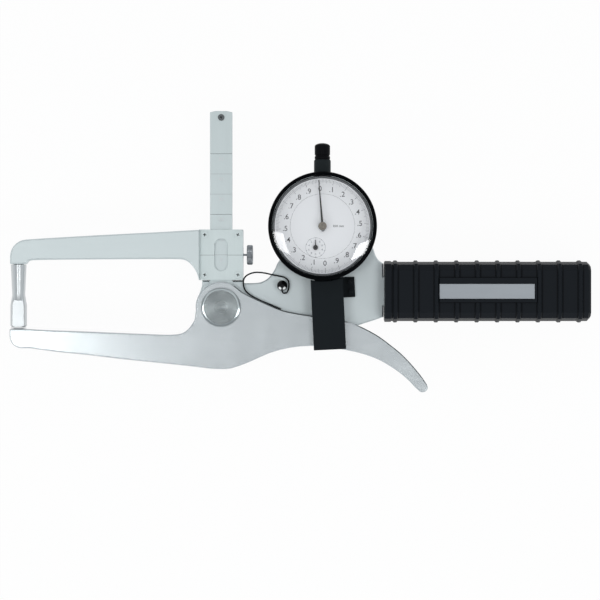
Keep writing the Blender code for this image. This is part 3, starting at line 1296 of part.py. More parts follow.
def take_up_gear(look, rider):
    """The gear that the hairspring turns, to keep the teeth in contact."""
    radius = GEAR_MODULE * TAKE_UP_TEETH / 2
    pitch = 2 * math.pi / CENTRE_TEETH
    offset = (mesh_angle - TAKE_UP_ANGLE + pitch / 2) % pitch - pitch / 2
    tip = TAKE_UP_ANGLE + math.pi - offset * CENTRE_TEETH / TAKE_UP_TEETH
    root = tip + math.pi / TAKE_UP_TEETH
    mesh = gear(TAKE_UP_TEETH, radius, root, gear_back, gear_front)
    part = add("take_up_gear", mesh, look, take_up_centre, rider=rider)
    join(part, rod(ARBOR_RADIUS, arbor_foot, case_floor - SEAT_GAP, ARBOR_SIDES), take_up_centre)
    low = hairspring_level - COLLET_WALL
    collet = rod(ARBOR_RADIUS + COLLET_WALL, low, gear_back + COLLET_WALL, ARBOR_SIDES)
    join(part, collet, take_up_centre)


def hairspring(look):
    """The flat spiral about the take-up arbor, its outer end at a stud."""
    count = HAIRSPRING_TURNS * HAIRSPRING_POINTS
    route = []
    for index in range(count + 1):
        angle = 2 * math.pi * index / HAIRSPRING_POINTS
        reach = HAIRSPRING_INNER_RADIUS
        reach += (HAIRSPRING_OUTER_RADIUS - HAIRSPRING_INNER_RADIUS) * index / count
        spoke = Vector((math.cos(angle), math.sin(angle), 0)) * reach
        route.append(take_up_centre + spoke + Vector((0, 0, hairspring_level)))
    wire("hairspring", route, HAIRSPRING_WIRE, look)


def movement_plate(look):
    """The plate behind the movement, with its pillars, spring anchor and stud."""
    disc = rod(BRIDGE_RADIUS, bridge_back, bridge_front, ROUND_SIDES)
    part = add("movement_plate", disc, look, gauge_centre)
    inside = bridge_front - BRIDGE_THICKNESS / 2
    for angle in BRIDGE_PILLAR_ANGLES:
        spoke = Vector((math.cos(angle), math.sin(angle), 0)) * BRIDGE_PILLAR_CIRCLE
        join(part, rod(BRIDGE_PILLAR_RADIUS, inside, case_floor - SEAT_GAP), gauge_centre + spoke)
    join(part, rod(PULL_ANCHOR_RADIUS, inside, spindle_level + PULL_ANCHOR_RADIUS), pull_anchor)
    reach = HAIRSPRING_OUTER_RADIUS + HAIRSPRING_WIRE + SEAT_GAP + PULL_ANCHOR_RADIUS
    stud = take_up_centre + Vector((reach, 0, 0))
    join(part, rod(PULL_ANCHOR_RADIUS, inside, hairspring_level + PULL_ANCHOR_RADIUS), stud)
    for place in (small_hand_centre, take_up_centre):
        hole = rod(ARBOR_RADIUS + HOLE_GAP, bridge_back - CUT_OVERRUN, bridge_front + CUT_OVERRUN)
        cut(part, hole, place)


def hand(name, length, tail, root_width, tip_width, hub_radius, level, angle, look, home, rider):
    """A tapered hand with a turned hub that sits on its arbor."""
    outline = [
        (-tip_width / 2, length), (-root_width / 2, -tail), (root_width / 2, -tail), (tip_width / 2, length),
    ]
    place = Vector(home) + Vector((0, 0, level))
    turn = (0, 0, angle)
    part = add(name, plate(outline, 0, HAND_THICKNESS), look, place, turn, rider)
    top = HAND_THICKNESS + HUB_CROWN
    profile = [
        (0, 0), (hub_radius, 0), (hub_radius, HAND_THICKNESS), (hub_radius - HUB_CROWN / 2, top), (0, top),
    ]
    join(part, turned(profile, ROUND_SIDES), place)
    cut(part, rod(ARBOR_RADIUS + HOLE_GAP, -CUT_OVERRUN, HAND_THICKNESS + SEAT_GAP / 2), place)


def hands(look, main_rider, small_rider):
    """The main hand and the turn counter's hand."""
    hand(
        "main_hand", MAIN_HAND_LENGTH, MAIN_HAND_TAIL, MAIN_HAND_ROOT_WIDTH, MAIN_HAND_TIP_WIDTH,
        MAIN_HAND_HUB_RADIUS, main_hand_level, MAIN_HAND_ANGLE, look, gauge_centre, main_rider,
    )
    hand(
        "small_hand", SMALL_HAND_LENGTH, SMALL_HAND_TAIL, SMALL_HAND_WIDTH, MAIN_HAND_TIP_WIDTH,
        SMALL_HAND_HUB_RADIUS, small_hand_level, 0, look, small_hand_centre, small_rider,
    )


def build():
    """Build every piece, the moving ones on their axes."""
    satin = finish("satin_steel", (0.62, 0.65, 0.66), 0.38, 0.9)
    ground = finish("ground_steel", (0.52, 0.55, 0.57), 0.30, 1.0)
    enamel = finish("silver_enamel", (0.60, 0.63, 0.64), 0.42, 0.3)
    bright = finish("bright_steel", (0.75, 0.77, 0.78), 0.12, 1.0)
    dark = finish("dark_steel", (0.12, 0.12, 0.13), 0.35, 0.9)
    gloss = finish("gloss_black", (0.012, 0.013, 0.015), 0.12, 0.0)
    moulded = finish("moulded_plastic", (0.014, 0.017, 0.021), 0.42, 0.0)
    sheet = finish("black_sheet", (0.016, 0.018, 0.021), 0.38, 0.0)
    white = finish("white_dial", (0.78, 0.80, 0.82), 0.5, 0.0)
    clear = finish("crystal", (0.95, 0.97, 0.98), 0.05, 0.0)
    brass = finish("brass", (0.62, 0.45, 0.17), 0.3, 1.0)
    bronze = finish("bronze", (0.45, 0.28, 0.13), 0.35, 1.0)
    foil = finish("plate_aluminium", (0.36, 0.38, 0.40), 0.4, 0.9)

    lever_axis = axis("lever_axis", (0, 0, 0))
    slide_axis = axis("slide_axis", (0, index_y, 0))
    lock_axis = axis("lock_axis", (0, index_y, bar_middle))
    spindle_axis = axis("spindle_axis", (SPINDLE_REACH, 0, spindle_level))
    bezel_axis = axis("bezel_axis", gauge_centre)
    main_axis = axis("main_axis", gauge_centre)
    small_axis = axis("small_axis", small_hand_centre)
    take_up_axis = axis("take_up_axis", take_up_centre)

    frame_plate(enamel)
    scale_bar(ground)
    bar_rivets(ground)
    stop = (0, BAR_TOP_Y - STOP_SCREW_DROP, frame_front + SEAT_GAP)
    small_screw("bar_stop_screw", dark, stop, length=STOP_SCREW_LENGTH)
    pivot_screw(bright)
    pivot_nut(bright)
    grip(moulded)
    grip_screws(dark)
    name_plate(foil)
    spring_post(bright)
    return_spring(dark)

    lever(satin, lever_axis)
    pivot_bush(bronze, lever_axis)
    lower_anvil(satin, lever_axis)
    contact_pin(bright, lever_axis)

    upper_jaw(satin, slide_axis)
    slider_cover(ground, slide_axis)
    for index, (x, y) in enumerate(cover_screw_places()):
        small_screw(f"cover_screw_{index + 1}", bright, (x, y, cover_screw_level), rider=slide_axis)
    upper_anvil(satin, slide_axis)
    lock_pad(brass, slide_axis)
    lock_screw(dark, lock_axis)

    gauge_back_cover(dark)
    for index, place in enumerate(case_screw_places()):
        home = (place.x, place.y, back_screw_level)
        small_screw(f"back_screw_{index + 1}", dark, home, DOWN_Z)
    gauge_case(gloss)
    stems(bright, gloss)
    dust_cap(gloss)
    dial_face(white)
    dial_ring(white, bezel_axis)
    bezel(gloss, bezel_axis)
    crystal(clear, bezel_axis)
    spindle(bright, spindle_axis)
    guide_pin(bright, spindle_axis)
    contact_point(bright, spindle_axis)
    spindle_spring(dark)
    movement_plate(brass)
    centre_pinion(brass, main_axis)
    rack_gear(brass, small_axis)
    take_up_gear(brass, take_up_axis)
    hairspring(dark)
    hands(gloss, main_axis, small_axis)
    stem_bracket(sheet)
    for index, (x, y) in enumerate(bracket_screw_places()):
        small_screw(f"bracket_screw_{index + 1}", bright, (x, y, bracket_screw_level))
    spindle_cover(sheet)


clear_scene()
build()
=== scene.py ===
# %% [markdown]
# # A dial caliper gauge
# This tool measures the thickness of a wall between two long arms. The lever's trigger opens
# the lower arm, and the round gauge shows the movement. We load the solid model first, because
# every dressed piece must sit exactly on it. Then come the finishes, the pieces, the printing
# and the engraving, and at last the light and the camera.

# %% Load the solid model
import json
import math
import bmesh
import bpy
from mathutils import Matrix, Vector

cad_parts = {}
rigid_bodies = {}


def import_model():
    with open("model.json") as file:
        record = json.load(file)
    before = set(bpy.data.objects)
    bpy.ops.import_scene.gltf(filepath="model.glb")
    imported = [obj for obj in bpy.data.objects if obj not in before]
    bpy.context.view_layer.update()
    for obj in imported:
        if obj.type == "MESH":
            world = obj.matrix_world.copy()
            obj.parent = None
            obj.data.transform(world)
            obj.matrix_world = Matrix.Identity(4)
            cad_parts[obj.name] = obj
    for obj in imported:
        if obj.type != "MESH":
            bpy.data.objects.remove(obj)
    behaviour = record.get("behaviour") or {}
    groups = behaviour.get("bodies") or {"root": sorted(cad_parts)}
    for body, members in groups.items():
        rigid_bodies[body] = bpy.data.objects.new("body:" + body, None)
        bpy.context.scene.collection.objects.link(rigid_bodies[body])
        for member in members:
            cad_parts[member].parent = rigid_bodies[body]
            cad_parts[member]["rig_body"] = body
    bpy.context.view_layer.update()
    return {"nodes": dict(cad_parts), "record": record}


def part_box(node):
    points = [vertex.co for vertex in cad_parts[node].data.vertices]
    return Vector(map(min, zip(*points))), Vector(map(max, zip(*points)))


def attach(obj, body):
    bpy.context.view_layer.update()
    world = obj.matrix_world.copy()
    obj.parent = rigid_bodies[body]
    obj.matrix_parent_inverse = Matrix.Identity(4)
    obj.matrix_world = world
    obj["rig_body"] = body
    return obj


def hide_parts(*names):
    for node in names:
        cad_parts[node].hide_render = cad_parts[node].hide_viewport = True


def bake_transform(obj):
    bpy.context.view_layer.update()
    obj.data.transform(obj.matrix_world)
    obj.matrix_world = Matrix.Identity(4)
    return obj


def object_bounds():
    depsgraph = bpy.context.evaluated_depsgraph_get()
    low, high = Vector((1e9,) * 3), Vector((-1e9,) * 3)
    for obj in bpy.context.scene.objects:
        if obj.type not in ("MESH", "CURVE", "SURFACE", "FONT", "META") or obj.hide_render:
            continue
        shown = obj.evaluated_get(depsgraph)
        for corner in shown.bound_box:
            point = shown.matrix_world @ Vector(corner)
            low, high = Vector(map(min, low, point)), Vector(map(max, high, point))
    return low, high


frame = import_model()
nodes = frame["nodes"]

# %% [markdown]
# ## Sizes
# All lengths are in metres and follow the tool itself: the scale bar stands over the pivot, the
# gauge's centre is 50 mm to the right, and one turn of the long hand is a hundred divisions of
# print on each half of the dial. Places are read from the solids, so print and steel can't part.

# %% Sizes read from the solids
def middle(node):
    low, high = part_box(node)
    return (low + high) / 2


def span(node, axis="z"):
    low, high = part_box(node)
    return getattr(low, axis), getattr(high, axis)


def front(node):
    return span(node)[1]


GAUGE = middle("bezel")
GAUGE.z = 0
SUB_DIAL = middle("rack_gear")
SUB_DIAL.z = 0
DIAL_FRONT = front("dial_face")
BAR_FRONT = front("scale_bar")
COVER_FRONT = front("slider_cover")
INK_HEIGHT = 0.00002
RIB_START = span("grip_front_shell", "x")[0] + 0.0052
RIB_PITCH = 0.01007
FIELD = ((RIB_START + 2.12 * RIB_PITCH, 0.0024), (RIB_START + 6.88 * RIB_PITCH, 0.0145))
print("gauge centre:", tuple(round(value, 5) for value in GAUGE[:2]))

# %% [markdown]
# ## A bench for finishes
# A finish is a small drawing of nodes. Written out node by node it gets long, so one class wraps
# a value that changes over the surface and lets us write `1 - mask * 0.2` as plain maths. Another
# class makes any other node from its type, the values of its sockets and its settings. A third
# one knows the steps that most finishes share: a place, a noise, a tint, a bump.

# %% A value on a surface
class Reading:
    """A number at each point of a surface; arithmetic on it adds Math nodes."""

    def __init__(self, bench, source):
        self.bench = bench
        self.source = source

    def __add__(self, other):
        return self.bench.maths("ADD", self, other)

    def __radd__(self, other):
        return self.bench.maths("ADD", other, self)

    def __sub__(self, other):
        return self.bench.maths("SUBTRACT", self, other)

    def __rsub__(self, other):
        return self.bench.maths("SUBTRACT", other, self)

    def __mul__(self, other):
        return self.bench.maths("MULTIPLY", self, other)

    def __rmul__(self, other):
        return self.bench.maths("MULTIPLY", other, self)

    def __truediv__(self, other):
        return self.bench.maths("DIVIDE", self, other)

    def __abs__(self):
        return self.bench.maths("ABSOLUTE", self)


# %% A bench that makes nodes
class Bench:
    """Writes a tree of nodes, node by node."""

    def __init__(self, owner):
        owner.use_nodes = True
        self.tree = owner.node_tree
        self.tree.nodes.clear()

    def node(self, kind, sockets=None, **settings):
        made = self.tree.nodes.new(kind)
        for name, value in settings.items():
            setattr(made, name, value)
        for name, value in (sockets or {}).items():
            self.fill(made.inputs[name], value)
        return made

    def fill(self, socket, value):
        """Links a reading, a node's first output or any other output, or writes a plain value."""
        if isinstance(value, Reading):
            value = value.source
        if isinstance(value, bpy.types.Node):
            value = value.outputs[0]
        if isinstance(value, bpy.types.NodeSocket):
            self.tree.links.new(value, socket)
        else:
            socket.default_value = value

    def typed(self, kind, data_type, sockets):
        """A node with a set of sockets for each type of data, of which one is in use."""
        made = self.node(kind, data_type=data_type)
        for socket in made.inputs:
            if socket.enabled and socket.name in sockets:
                self.fill(socket, sockets[socket.name])
        return [socket for socket in made.outputs if socket.enabled][0]

    def maths(self, operation, first, second=0.0):
        made = self.node("ShaderNodeMath", {0: first, 1: second}, operation=operation)
        return Reading(self, made)

    def between(self, value, low, high):
        """Rises smoothly from 0 at low to 1 at high."""
        ends = {"Value": value, "From Min": low, "From Max": high}
        made = self.node("ShaderNodeMapRange", ends, interpolation_type="SMOOTHSTEP")
        return Reading(self, made)


# %% The steps that finishes share
class Paint(Bench):
    """Builds one finish."""

    def __init__(self, name):
        self.finish = bpy.data.materials.new(name)
        super().__init__(self.finish)

    def place(self, centre=(0, 0, 0), scale=(1, 1, 1)):
        where = self.node("ShaderNodeTexCoord").outputs["Object"]
        shift = tuple(-value for value in centre)
        moved = self.node("ShaderNodeMapping", {"Vector": where, "Location": shift})
        return self.node("ShaderNodeMapping", {"Vector": moved, "Scale": scale})

    def axes(self, centre=(0, 0, 0)):
        """The X and Y from a centre."""
        parts = self.node("ShaderNodeSeparateXYZ", {0: self.place(centre)}).outputs
        return Reading(self, parts[0]), Reading(self, parts[1])

    def radius(self, centre=(0, 0, 0)):
        x, y = self.axes(centre)
        return self.maths("SQRT", x * x + y * y)

    def noise(self, scale, detail=2.0, rough=0.5, where=None):
        sockets = {"Vector": where or self.place(), "Scale": scale, "Detail": detail}
        return Reading(self, self.node("ShaderNodeTexNoise", {**sockets, "Roughness": rough}))

    def blend(self, amount, first, second):
        return self.typed("ShaderNodeMix", "RGBA", {"Factor": amount, "A": first, "B": second})

    def tint(self, colour, amount):
        """A colour made lighter or darker by a value around 1."""
        sockets = {0: colour[:3], "Scale": amount}
        return self.node("ShaderNodeVectorMath", sockets, operation="SCALE")

    def bump(self, height, strength, distance):
        sockets = {"Height": height, "Strength": strength, "Distance": distance}
        return self.node("ShaderNodeBump", sockets)

    def principled(self, **sockets):
        names = {name.replace("_", " "): value for name, value in sockets.items()}
        return self.node("ShaderNodeBsdfPrincipled", names)

    def close(self, surface):
        self.node("ShaderNodeOutputMaterial", {"Surface": surface})
        return self.finish

    def mixed(self, amount, first, second):
        """A finish mixed of two shaders."""
        return self.close(self.node("ShaderNodeMixShader", {0: amount, 1: first, 2: second}))

    def done(self, **sockets):
        return self.close(self.principled(**sockets))


# %% [markdown]
# ## Satin silver
# The lever, the sliding jaw and the frame are castings with a satin silver finish. A blasted
# surface is even from afar and grainy close up: a fine grain roughens it, wide clouds shift its
# shade a little, and a few soft rub marks run along the arms.

# %% Satin silver finish
def satin_silver(name, colour, roughness, metal=0.85):
    bench = Paint(name)
    clouds = bench.noise(90.0, 3.0)
    grain = bench.noise(3200.0)
    rubs = bench.noise(900.0, 4.0, 0.7, bench.place(scale=(0.12, 1.0, 1.0)))
    shade = 0.96 + clouds * 0.05 + grain * 0.04
    rough = roughness + (clouds - 0.5) * 0.08 + (rubs - 0.5) * 0.10
    height = grain + rubs * 0.4
    return bench.done(
        Base_Color=bench.tint(colour, shade), Metallic=metal, Roughness=rough,
        Normal=bench.bump(height, 0.25, 0.00003),
    )


# %% [markdown]
# ## Brushed and ground steel
# The scale bar and the jaw's cover are ground along their length. Brushing is a noise that is
# stretched fifty times in one direction. It moves the roughness and the height together,
# which spreads each light into a soft streak across the grain.

# %% Brushed steel finish
def brushed_steel(name, colour, roughness, along):
    bench = Paint(name)
    drawn = bench.place(scale=tuple(0.02 if axis == along else 1.0 for axis in "XYZ"))
    strokes = bench.noise(2600.0, 4.0, 0.65, drawn)
    wide = bench.noise(420.0, where=drawn)
    stains = bench.noise(160.0, 3.0)
    shade = 0.93 + strokes * 0.08 + wide * 0.05 + stains * 0.02
    rough = roughness + (strokes - 0.5) * 0.22 + (stains - 0.5) * 0.06
    return bench.done(
        Base_Color=bench.tint(colour, shade), Metallic=0.9, Roughness=rough,
        Normal=bench.bump(strokes + wide * 0.5, 0.3, 0.00003),
    )


# %% [markdown]
# ## Turned faces
# The pivot's wide head was faced on a lathe, and its fine rings throw a fan of light. We make the
# rings as a height that depends on the distance from the centre, so the fan comes from the lamps
# and turns with them in any view. The rounded margin is polished, and its colour is also painted
# lighter all round as a painted sheen. The side is duller.

# %% Turned steel finish
RING_PITCH = 0.00016


def turned_steel(name, colour, roughness, edge):
    bench = Paint(name)
    radius = bench.radius()
    wobble = bench.noise(700.0) * 0.00005
    rings = bench.maths("SINE", (radius + wobble) * (2 * math.pi / RING_PITCH))
    outward = bench.node("ShaderNodeCombineXYZ", {0: radius * 3.0})
    bands = bench.noise(900.0, 3.0, where=outward)
    polished_margin_with_sheen = bench.between(radius, edge - 0.00125, edge - 0.00115)
    side = bench.between(radius, edge - 0.00010, edge - 0.00002)
    # The margin's colour is painted lighter all round, as a painted sheen; its lower roughness and
    # missing rings are the polish.
    shade = (0.92 + bands * 0.12 + polished_margin_with_sheen * 1.2) * (1 - side * 0.5)
    rough = roughness + (bands - 0.5) * 0.10 - polished_margin_with_sheen * 0.15 + side * 0.5
    return bench.done(
        Base_Color=bench.tint(colour, shade), Metallic=1.0, Roughness=rough,
        Normal=bench.bump((rings + bands * 0.5) * (1 - polished_margin_with_sheen), 0.11, 0.00004),
    )


# %% [markdown]
# ## Black finishes
# The gauge's case and bezel are gloss black, the covers are black sheet with a satin coat, and
# the grip is moulded plastic with a spark-eroded grain. Black shows only what it reflects, so each
# differs in its gloss: fine dust on the gloss coat, a pebbled height on the plastic. The plastic
# is also painted darker in the creases beside the grip's ribs and round the raised field, as
# painted shade; the ribs stand at an even pitch along X.

# %% Black finishes
def gloss_black(name, colour, roughness, shine=0.04):
    bench = Paint(name)
    smudges = bench.noise(140.0, 4.0, 0.6)
    dust = bench.noise(2400.0)
    shade = 0.9 + smudges * 0.2
    rough = roughness + (smudges - 0.5) * 0.10 + (dust - 0.5) * 0.04
    return bench.done(
        Base_Color=bench.tint(colour, shade), Roughness=rough, Specular_IOR_Level=shine,
        Normal=bench.bump(smudges * 0.5 + dust, 0.06, 0.00002),
    )


def moulded_black(name, colour, roughness, depth, crease, field=((0, 0), (0, 0))):
    bench = Paint(name)
    pebbles = bench.noise(2600.0, 3.0, 0.6)
    flow = bench.noise(110.0, 3.0, where=bench.place(scale=(0.3, 1.0, 1.0)))
    start, pitch, reach = crease
    x, y = bench.axes()
    lap = bench.maths("FLOORED_MODULO", x - (start - pitch / 2), pitch)
    gap = abs(abs(lap - pitch / 2) - reach)
    (left, low), (right, high) = field
    beside = abs(x - (left + right) / 2) - (right - left) / 2
    above = abs(y - (low + high) / 2) - (high - low) / 2
    rim = abs(bench.maths("MAXIMUM", beside, above))
    # The creases beside the ribs and the rim of the field are painted darker, as painted shade.
    dirt = bench.between(bench.maths("MINIMUM", gap, rim), 0.0005, 0.0001)
    shade = (0.85 + pebbles * 0.2 + flow * 0.12) * (1 - dirt * 0.6)
    rough = roughness + (pebbles - 0.5) * 0.12 + (flow - 0.5) * 0.10
    return bench.done(
        Base_Color=bench.tint(colour, shade), Roughness=rough, Specular_IOR_Level=0.05,
        Normal=bench.bump(pebbles, depth, 0.00005),
    )


# %% [markdown]
# ## The dial's white and the crystal
# The dial is matt white sheet. Its raised rim slopes up to the crystal and is black with one
# bright turned line, so one finish changes with the distance from the centre. The crystal is
# clear: light passes straight through it, and a mirror is mixed in more and more where one looks
# at it from the side.

# %% Dial and crystal finishes
def dial_white(name, colour, rim_colour, rim_start, line_start):
    bench = Paint(name)
    radius = bench.radius(GAUGE)
    rim = bench.between(radius, rim_start, rim_start + 0.00008)
    inner = bench.between(radius, line_start, line_start + 0.00006)
    outer = bench.between(radius, line_start + 0.00022, line_start + 0.00028)
    lines = inner - outer
    paint = bench.noise(1800.0, 3.0)
    # The white is painted lighter towards the rim, as painted light that makes up for the bezel's
    # shade on the dial.
    shade = 0.985 + paint * 0.03 + bench.between(radius, 0.0165, rim_start) * 0.05
    black = bench.tint(rim_colour, 1.0 + lines * 9.0)
    return bench.done(
        Base_Color=bench.blend(rim, bench.tint(colour, shade), black), Metallic=lines * 0.5,
        Roughness=0.55, Specular_IOR_Level=0.1, Normal=bench.bump(paint, 0.05, 0.00003),
    )


def clear_crystal(name):
    bench = Paint(name)
    edge = Reading(bench, bench.node("ShaderNodeFresnel", {"IOR": 1.5}))
    inside = Reading(bench, bench.node("ShaderNodeNewGeometry").outputs["Backfacing"])
    haze = bench.noise(220.0, 3.0)
    sheen = bench.principled(Base_Color=(1, 1, 1, 1), Metallic=1.0, Roughness=0.02 + haze * 0.03)
    clear = bench.node("ShaderNodeBsdfTransparent", {0: (0.998, 0.999, 1, 1)})
    return bench.mixed(edge * 1.8 * (1 - inside), clear, sheen)


# %% [markdown]
# ## The ball post
# The ball is blackened steel. Two small spots on its lower side are painted bright, as painted
# glints of the lamps, so the finish changes with the distance from two points.

# %% Blackened steel with two painted glints
def black_with_painted_glints(name, colour, glint_colour, glint_spots, size):
    bench = Paint(name)
    where = bench.node("ShaderNodeTexCoord").outputs["Object"]
    smudges = bench.noise(900.0, 3.0)
    # Two spots on the ball's lower side are painted bright, as painted glints of the lamps.
    glint = 0.0
    for spot in glint_spots:
        gap = bench.node("ShaderNodeVectorMath", {0: where, 1: spot}, operation="DISTANCE")
        glint = bench.between(Reading(bench, gap.outputs["Value"]), size, size * 0.6) + glint
    return bench.done(
        Base_Color=bench.blend(glint, colour, glint_colour), Metallic=0.4 - glint * 0.4,
        Roughness=0.22 + (smudges - 0.5) * 0.08, Specular_IOR_Level=0.2,
        Normal=bench.bump(smudges, 0.03, 0.00001),
    )


# %% [markdown]
# ## Ink and engraving
# Printed figures and filled engraving are matt and slightly uneven, as ink is under a lens.

# %% Ink finish
def ink(name, colour, roughness=0.6):
    bench = Paint(name)
    blots = bench.noise(5200.0)
    rough = roughness + (blots - 0.5) * 0.2
    return bench.done(
        Base_Color=bench.tint(colour, 0.85 + blots * 0.3), Roughness=rough,
        Specular_IOR_Level=0.2, Normal=bench.bump(blots, 0.1, 0.00001),
    )


# %% Mix the finishes
PLASTIC = (0.0104, 0.0128, 0.0160)
RIB_HALF = 0.0014
NO_RIBS = (0, 1, -1)
# The places of the two painted glints on the ball.
BALL_GLINTS = ((0.0291, 0.0093, 0.0172), (0.0313, 0.0093, 0.0172))
BALL_LOOKS = ((0.006, 0.006, 0.007, 1), (0.9, 0.92, 0.92, 1))
LOOKS = {}
for name, maker, *values in [
    ("lever_silver", satin_silver, (0.58, 0.62, 0.635), 0.22),
    ("satin_silver", satin_silver, (0.63, 0.695, 0.70), 0.42, 0.6),
    ("frame_silver", satin_silver, (0.61, 0.67, 0.68), 0.42, 0.7),
    ("finger_steel", satin_silver, (0.60, 0.63, 0.64), 0.30),
    ("bar_steel", brushed_steel, (0.56, 0.625, 0.63), 0.36, "Y"),
    ("cover_steel", brushed_steel, (0.585, 0.655, 0.655), 0.38, "Y"),
    ("label_metal", brushed_steel, (0.32, 0.345, 0.37), 0.42, "X"),
    ("knob_steel", turned_steel, (0.235, 0.260, 0.265), 0.26, 0.0096),
    ("bright_steel", satin_silver, (0.78, 0.80, 0.81), 0.24),
    ("ball_black", black_with_painted_glints, *BALL_LOOKS, BALL_GLINTS, 0.0010),
    ("spring_black", satin_silver, (0.012, 0.013, 0.014), 0.40),
    ("sleeve_black", gloss_black, (0.021, 0.026, 0.028), 0.40),
    ("stop_steel", satin_silver, (0.13, 0.14, 0.145), 0.40),
    ("hand_bronze", satin_silver, (0.19, 0.17, 0.14), 0.35),
    ("dark_steel", satin_silver, (0.16, 0.17, 0.18), 0.30),
    ("lock_steel", brushed_steel, (0.30, 0.32, 0.34), 0.34, "X"),
    ("gloss_black", gloss_black, (0.0016, 0.0020, 0.0026), 0.16, 0.022),
    ("satin_black", gloss_black, (0.0108, 0.0142, 0.0165), 0.36),
    ("hand_black", gloss_black, (0.006, 0.006, 0.007), 0.30),
    ("moulded_black", moulded_black, PLASTIC, 0.42, 0.35, (RIB_START, RIB_PITCH, RIB_HALF), FIELD),
    ("field_black", moulded_black, PLASTIC, 0.42, 0.35, NO_RIBS),
    ("dial_white", dial_white, (0.965, 0.975, 0.99), (0.015, 0.017, 0.019), 0.02332, 0.02372),
    ("crystal", clear_crystal),
    ("brass", satin_silver, (0.62, 0.45, 0.17), 0.28),
    ("bronze", satin_silver, (0.45, 0.28, 0.13), 0.40),
    ("ink", ink, (0.035, 0.038, 0.042)),
    ("fine_ink", ink, (0.22, 0.24, 0.26)),
    ("pale_fill", ink, (0.62, 0.64, 0.65)),
    # The next three inks also serve as dark strips and fills of painted shade.
    ("groove", ink, (0.14, 0.16, 0.165), 0.5),
    ("worn_groove", ink, (0.40, 0.43, 0.44), 0.5),
    ("recess_dirt", ink, (0.03, 0.032, 0.034), 0.7),
]:
    LOOKS[name] = maker(name, *values)
print("finishes:", len(LOOKS))

# %% [markdown]
# ## Dressing a solid
# The solids have knife edges, and no real edge is that sharp. We copy a solid, merge its loose
# triangles, join those that lie in one plane, and break each sharp edge with a narrow bevel. The
# bevel catches the light as a thin bright line. Weighted normals keep the big faces flat.

# %% Meshes and pieces
def joined_mesh(node):
    """A clean copy of a solid's mesh, with one face for each flat side."""
    work = bmesh.new()
    work.from_mesh(nodes[node].data)
    bmesh.ops.remove_doubles(work, verts=work.verts, dist=0.000001)
    flat = math.radians(0.4)
    bmesh.ops.dissolve_limit(work, angle_limit=flat, verts=work.verts, edges=work.edges)
    work.verts.index_update()
    corners = [vert.co[:] for vert in work.verts]
    sides = [[vert.index for vert in face.verts] for face in work.faces]
    work.free()
    return mesh_of(node + "_dressed", corners, sides)


def mesh_of(name, corners, sides=()):
    mesh = bpy.data.meshes.new(name)
    mesh.from_pydata(corners, [], sides)
    return mesh


def baked(piece):
    """A mesh of the piece as it is seen."""
    depsgraph = bpy.context.evaluated_depsgraph_get()
    return bpy.data.meshes.new_from_object(piece.evaluated_get(depsgraph), depsgraph=depsgraph)


def settle(piece):
    """Turns the modifiers into plain mesh."""
    mesh = baked(piece)
    piece.modifiers.clear()
    piece.data = mesh


def placed(name, data):
    thing = bpy.data.objects.new(name, data)
    bpy.context.scene.collection.objects.link(thing)
    return thing


def new_piece(name, mesh, look):
    piece = placed(name, mesh)
    mesh.materials.clear()
    mesh.materials.append(LOOKS[look])
    return piece


# %% Dress a solid
def tell(piece):
    print(piece.name, "faces:", len(piece.data.polygons))


def smooth(piece, angle):
    piece.data.shade_smooth()
    piece.data.set_sharp_from_angle(angle=math.radians(angle))


def break_edges(piece, width):
    bevel = piece.modifiers.new("edge", "BEVEL")
    bevel.width = width
    bevel.segments = 2
    bevel.limit_method = "ANGLE"
    bevel.angle_limit = math.radians(28)
    bevel.use_clamp_overlap = False
    even = piece.modifiers.new("even", "WEIGHTED_NORMAL")
    even.keep_sharp = True
    even.weight = 100
    settle(piece)


def carried_by(node):
    return nodes[node]["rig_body"]


def stand_for(piece, *names):
    """The piece rides with the solids it replaces, which are hidden."""
    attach(piece, carried_by(names[0]))
    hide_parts(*names)
    for part in frame["record"]["subparts"]:
        part["node"] == names[0]


def dress(node, look, width):
    piece = new_piece(node + "_dressed", joined_mesh(node), look)
    smooth(piece, 50)
    break_edges(piece, width)
    stand_for(piece, node)
    tell(piece)


# %% The flat and milled pieces
for node, look, width in [
    ("lever", "lever_silver", 0.00010),
    ("upper_jaw", "satin_silver", 0.00012),
    ("frame_plate", "frame_silver", 0.00014),
    ("scale_bar", "bar_steel", 0.00012),
    ("slider_cover", "cover_steel", 0.00004),
    ("lower_anvil", "finger_steel", 0.00012),
    ("upper_anvil", "finger_steel", 0.00014),
    ("stem_bracket", "satin_black", 0.00014),
    ("spindle_cover", "satin_black", 0.00022),
    ("name_plate", "label_metal", 0.00012),
    ("dial_face", "dial_white", 0.00004),
    ("main_hand", "hand_black", 0.00003),
    ("small_hand", "hand_black", 0.00003),
    ("gauge_case", "gloss_black", 0.00018),
]:
    dress(node, look, width)

# %% [markdown]
# ## The return spring
# One end of the bent wire hangs on the ball post, the other presses on the lever's upper edge and
# must go with it. Beyond a slanted line the wire is pushed across onto that edge, by a share that
# rises smoothly between two lines, and a little less towards the end of its lower branch.

# %% The wire between the frame and the lever
ACROSS = Vector((-0.42, -0.907, 0)).normalized()
HOOK_LINE, PRESS_LINE = -0.0185, -0.0132
BRANCH_START, BRANCH_LENGTH = 0.0195, 0.0105
PRESS, PRESS_LESS = 0.00086, 0.00034


def pressed(spot):
    """A point of the wire after the wire is pressed onto the lever."""
    share = (spot.dot(ACROSS) - HOOK_LINE) / (PRESS_LINE - HOOK_LINE)
    share = min(max(share, 0), 1)
    along = min(max((spot.x - BRANCH_START) / BRANCH_LENGTH, 0), 1)
    return spot + ACROSS * (PRESS - PRESS_LESS * along) * share * share * (3 - 2 * share)


mesh = joined_mesh("return_spring")
for vertex in mesh.vertices:
    vertex.co = pressed(vertex.co)
wire = new_piece("return_spring_bent", mesh, "spring_black")
smooth(wire, 50)
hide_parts("return_spring")
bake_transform(wire)
tell(wire)

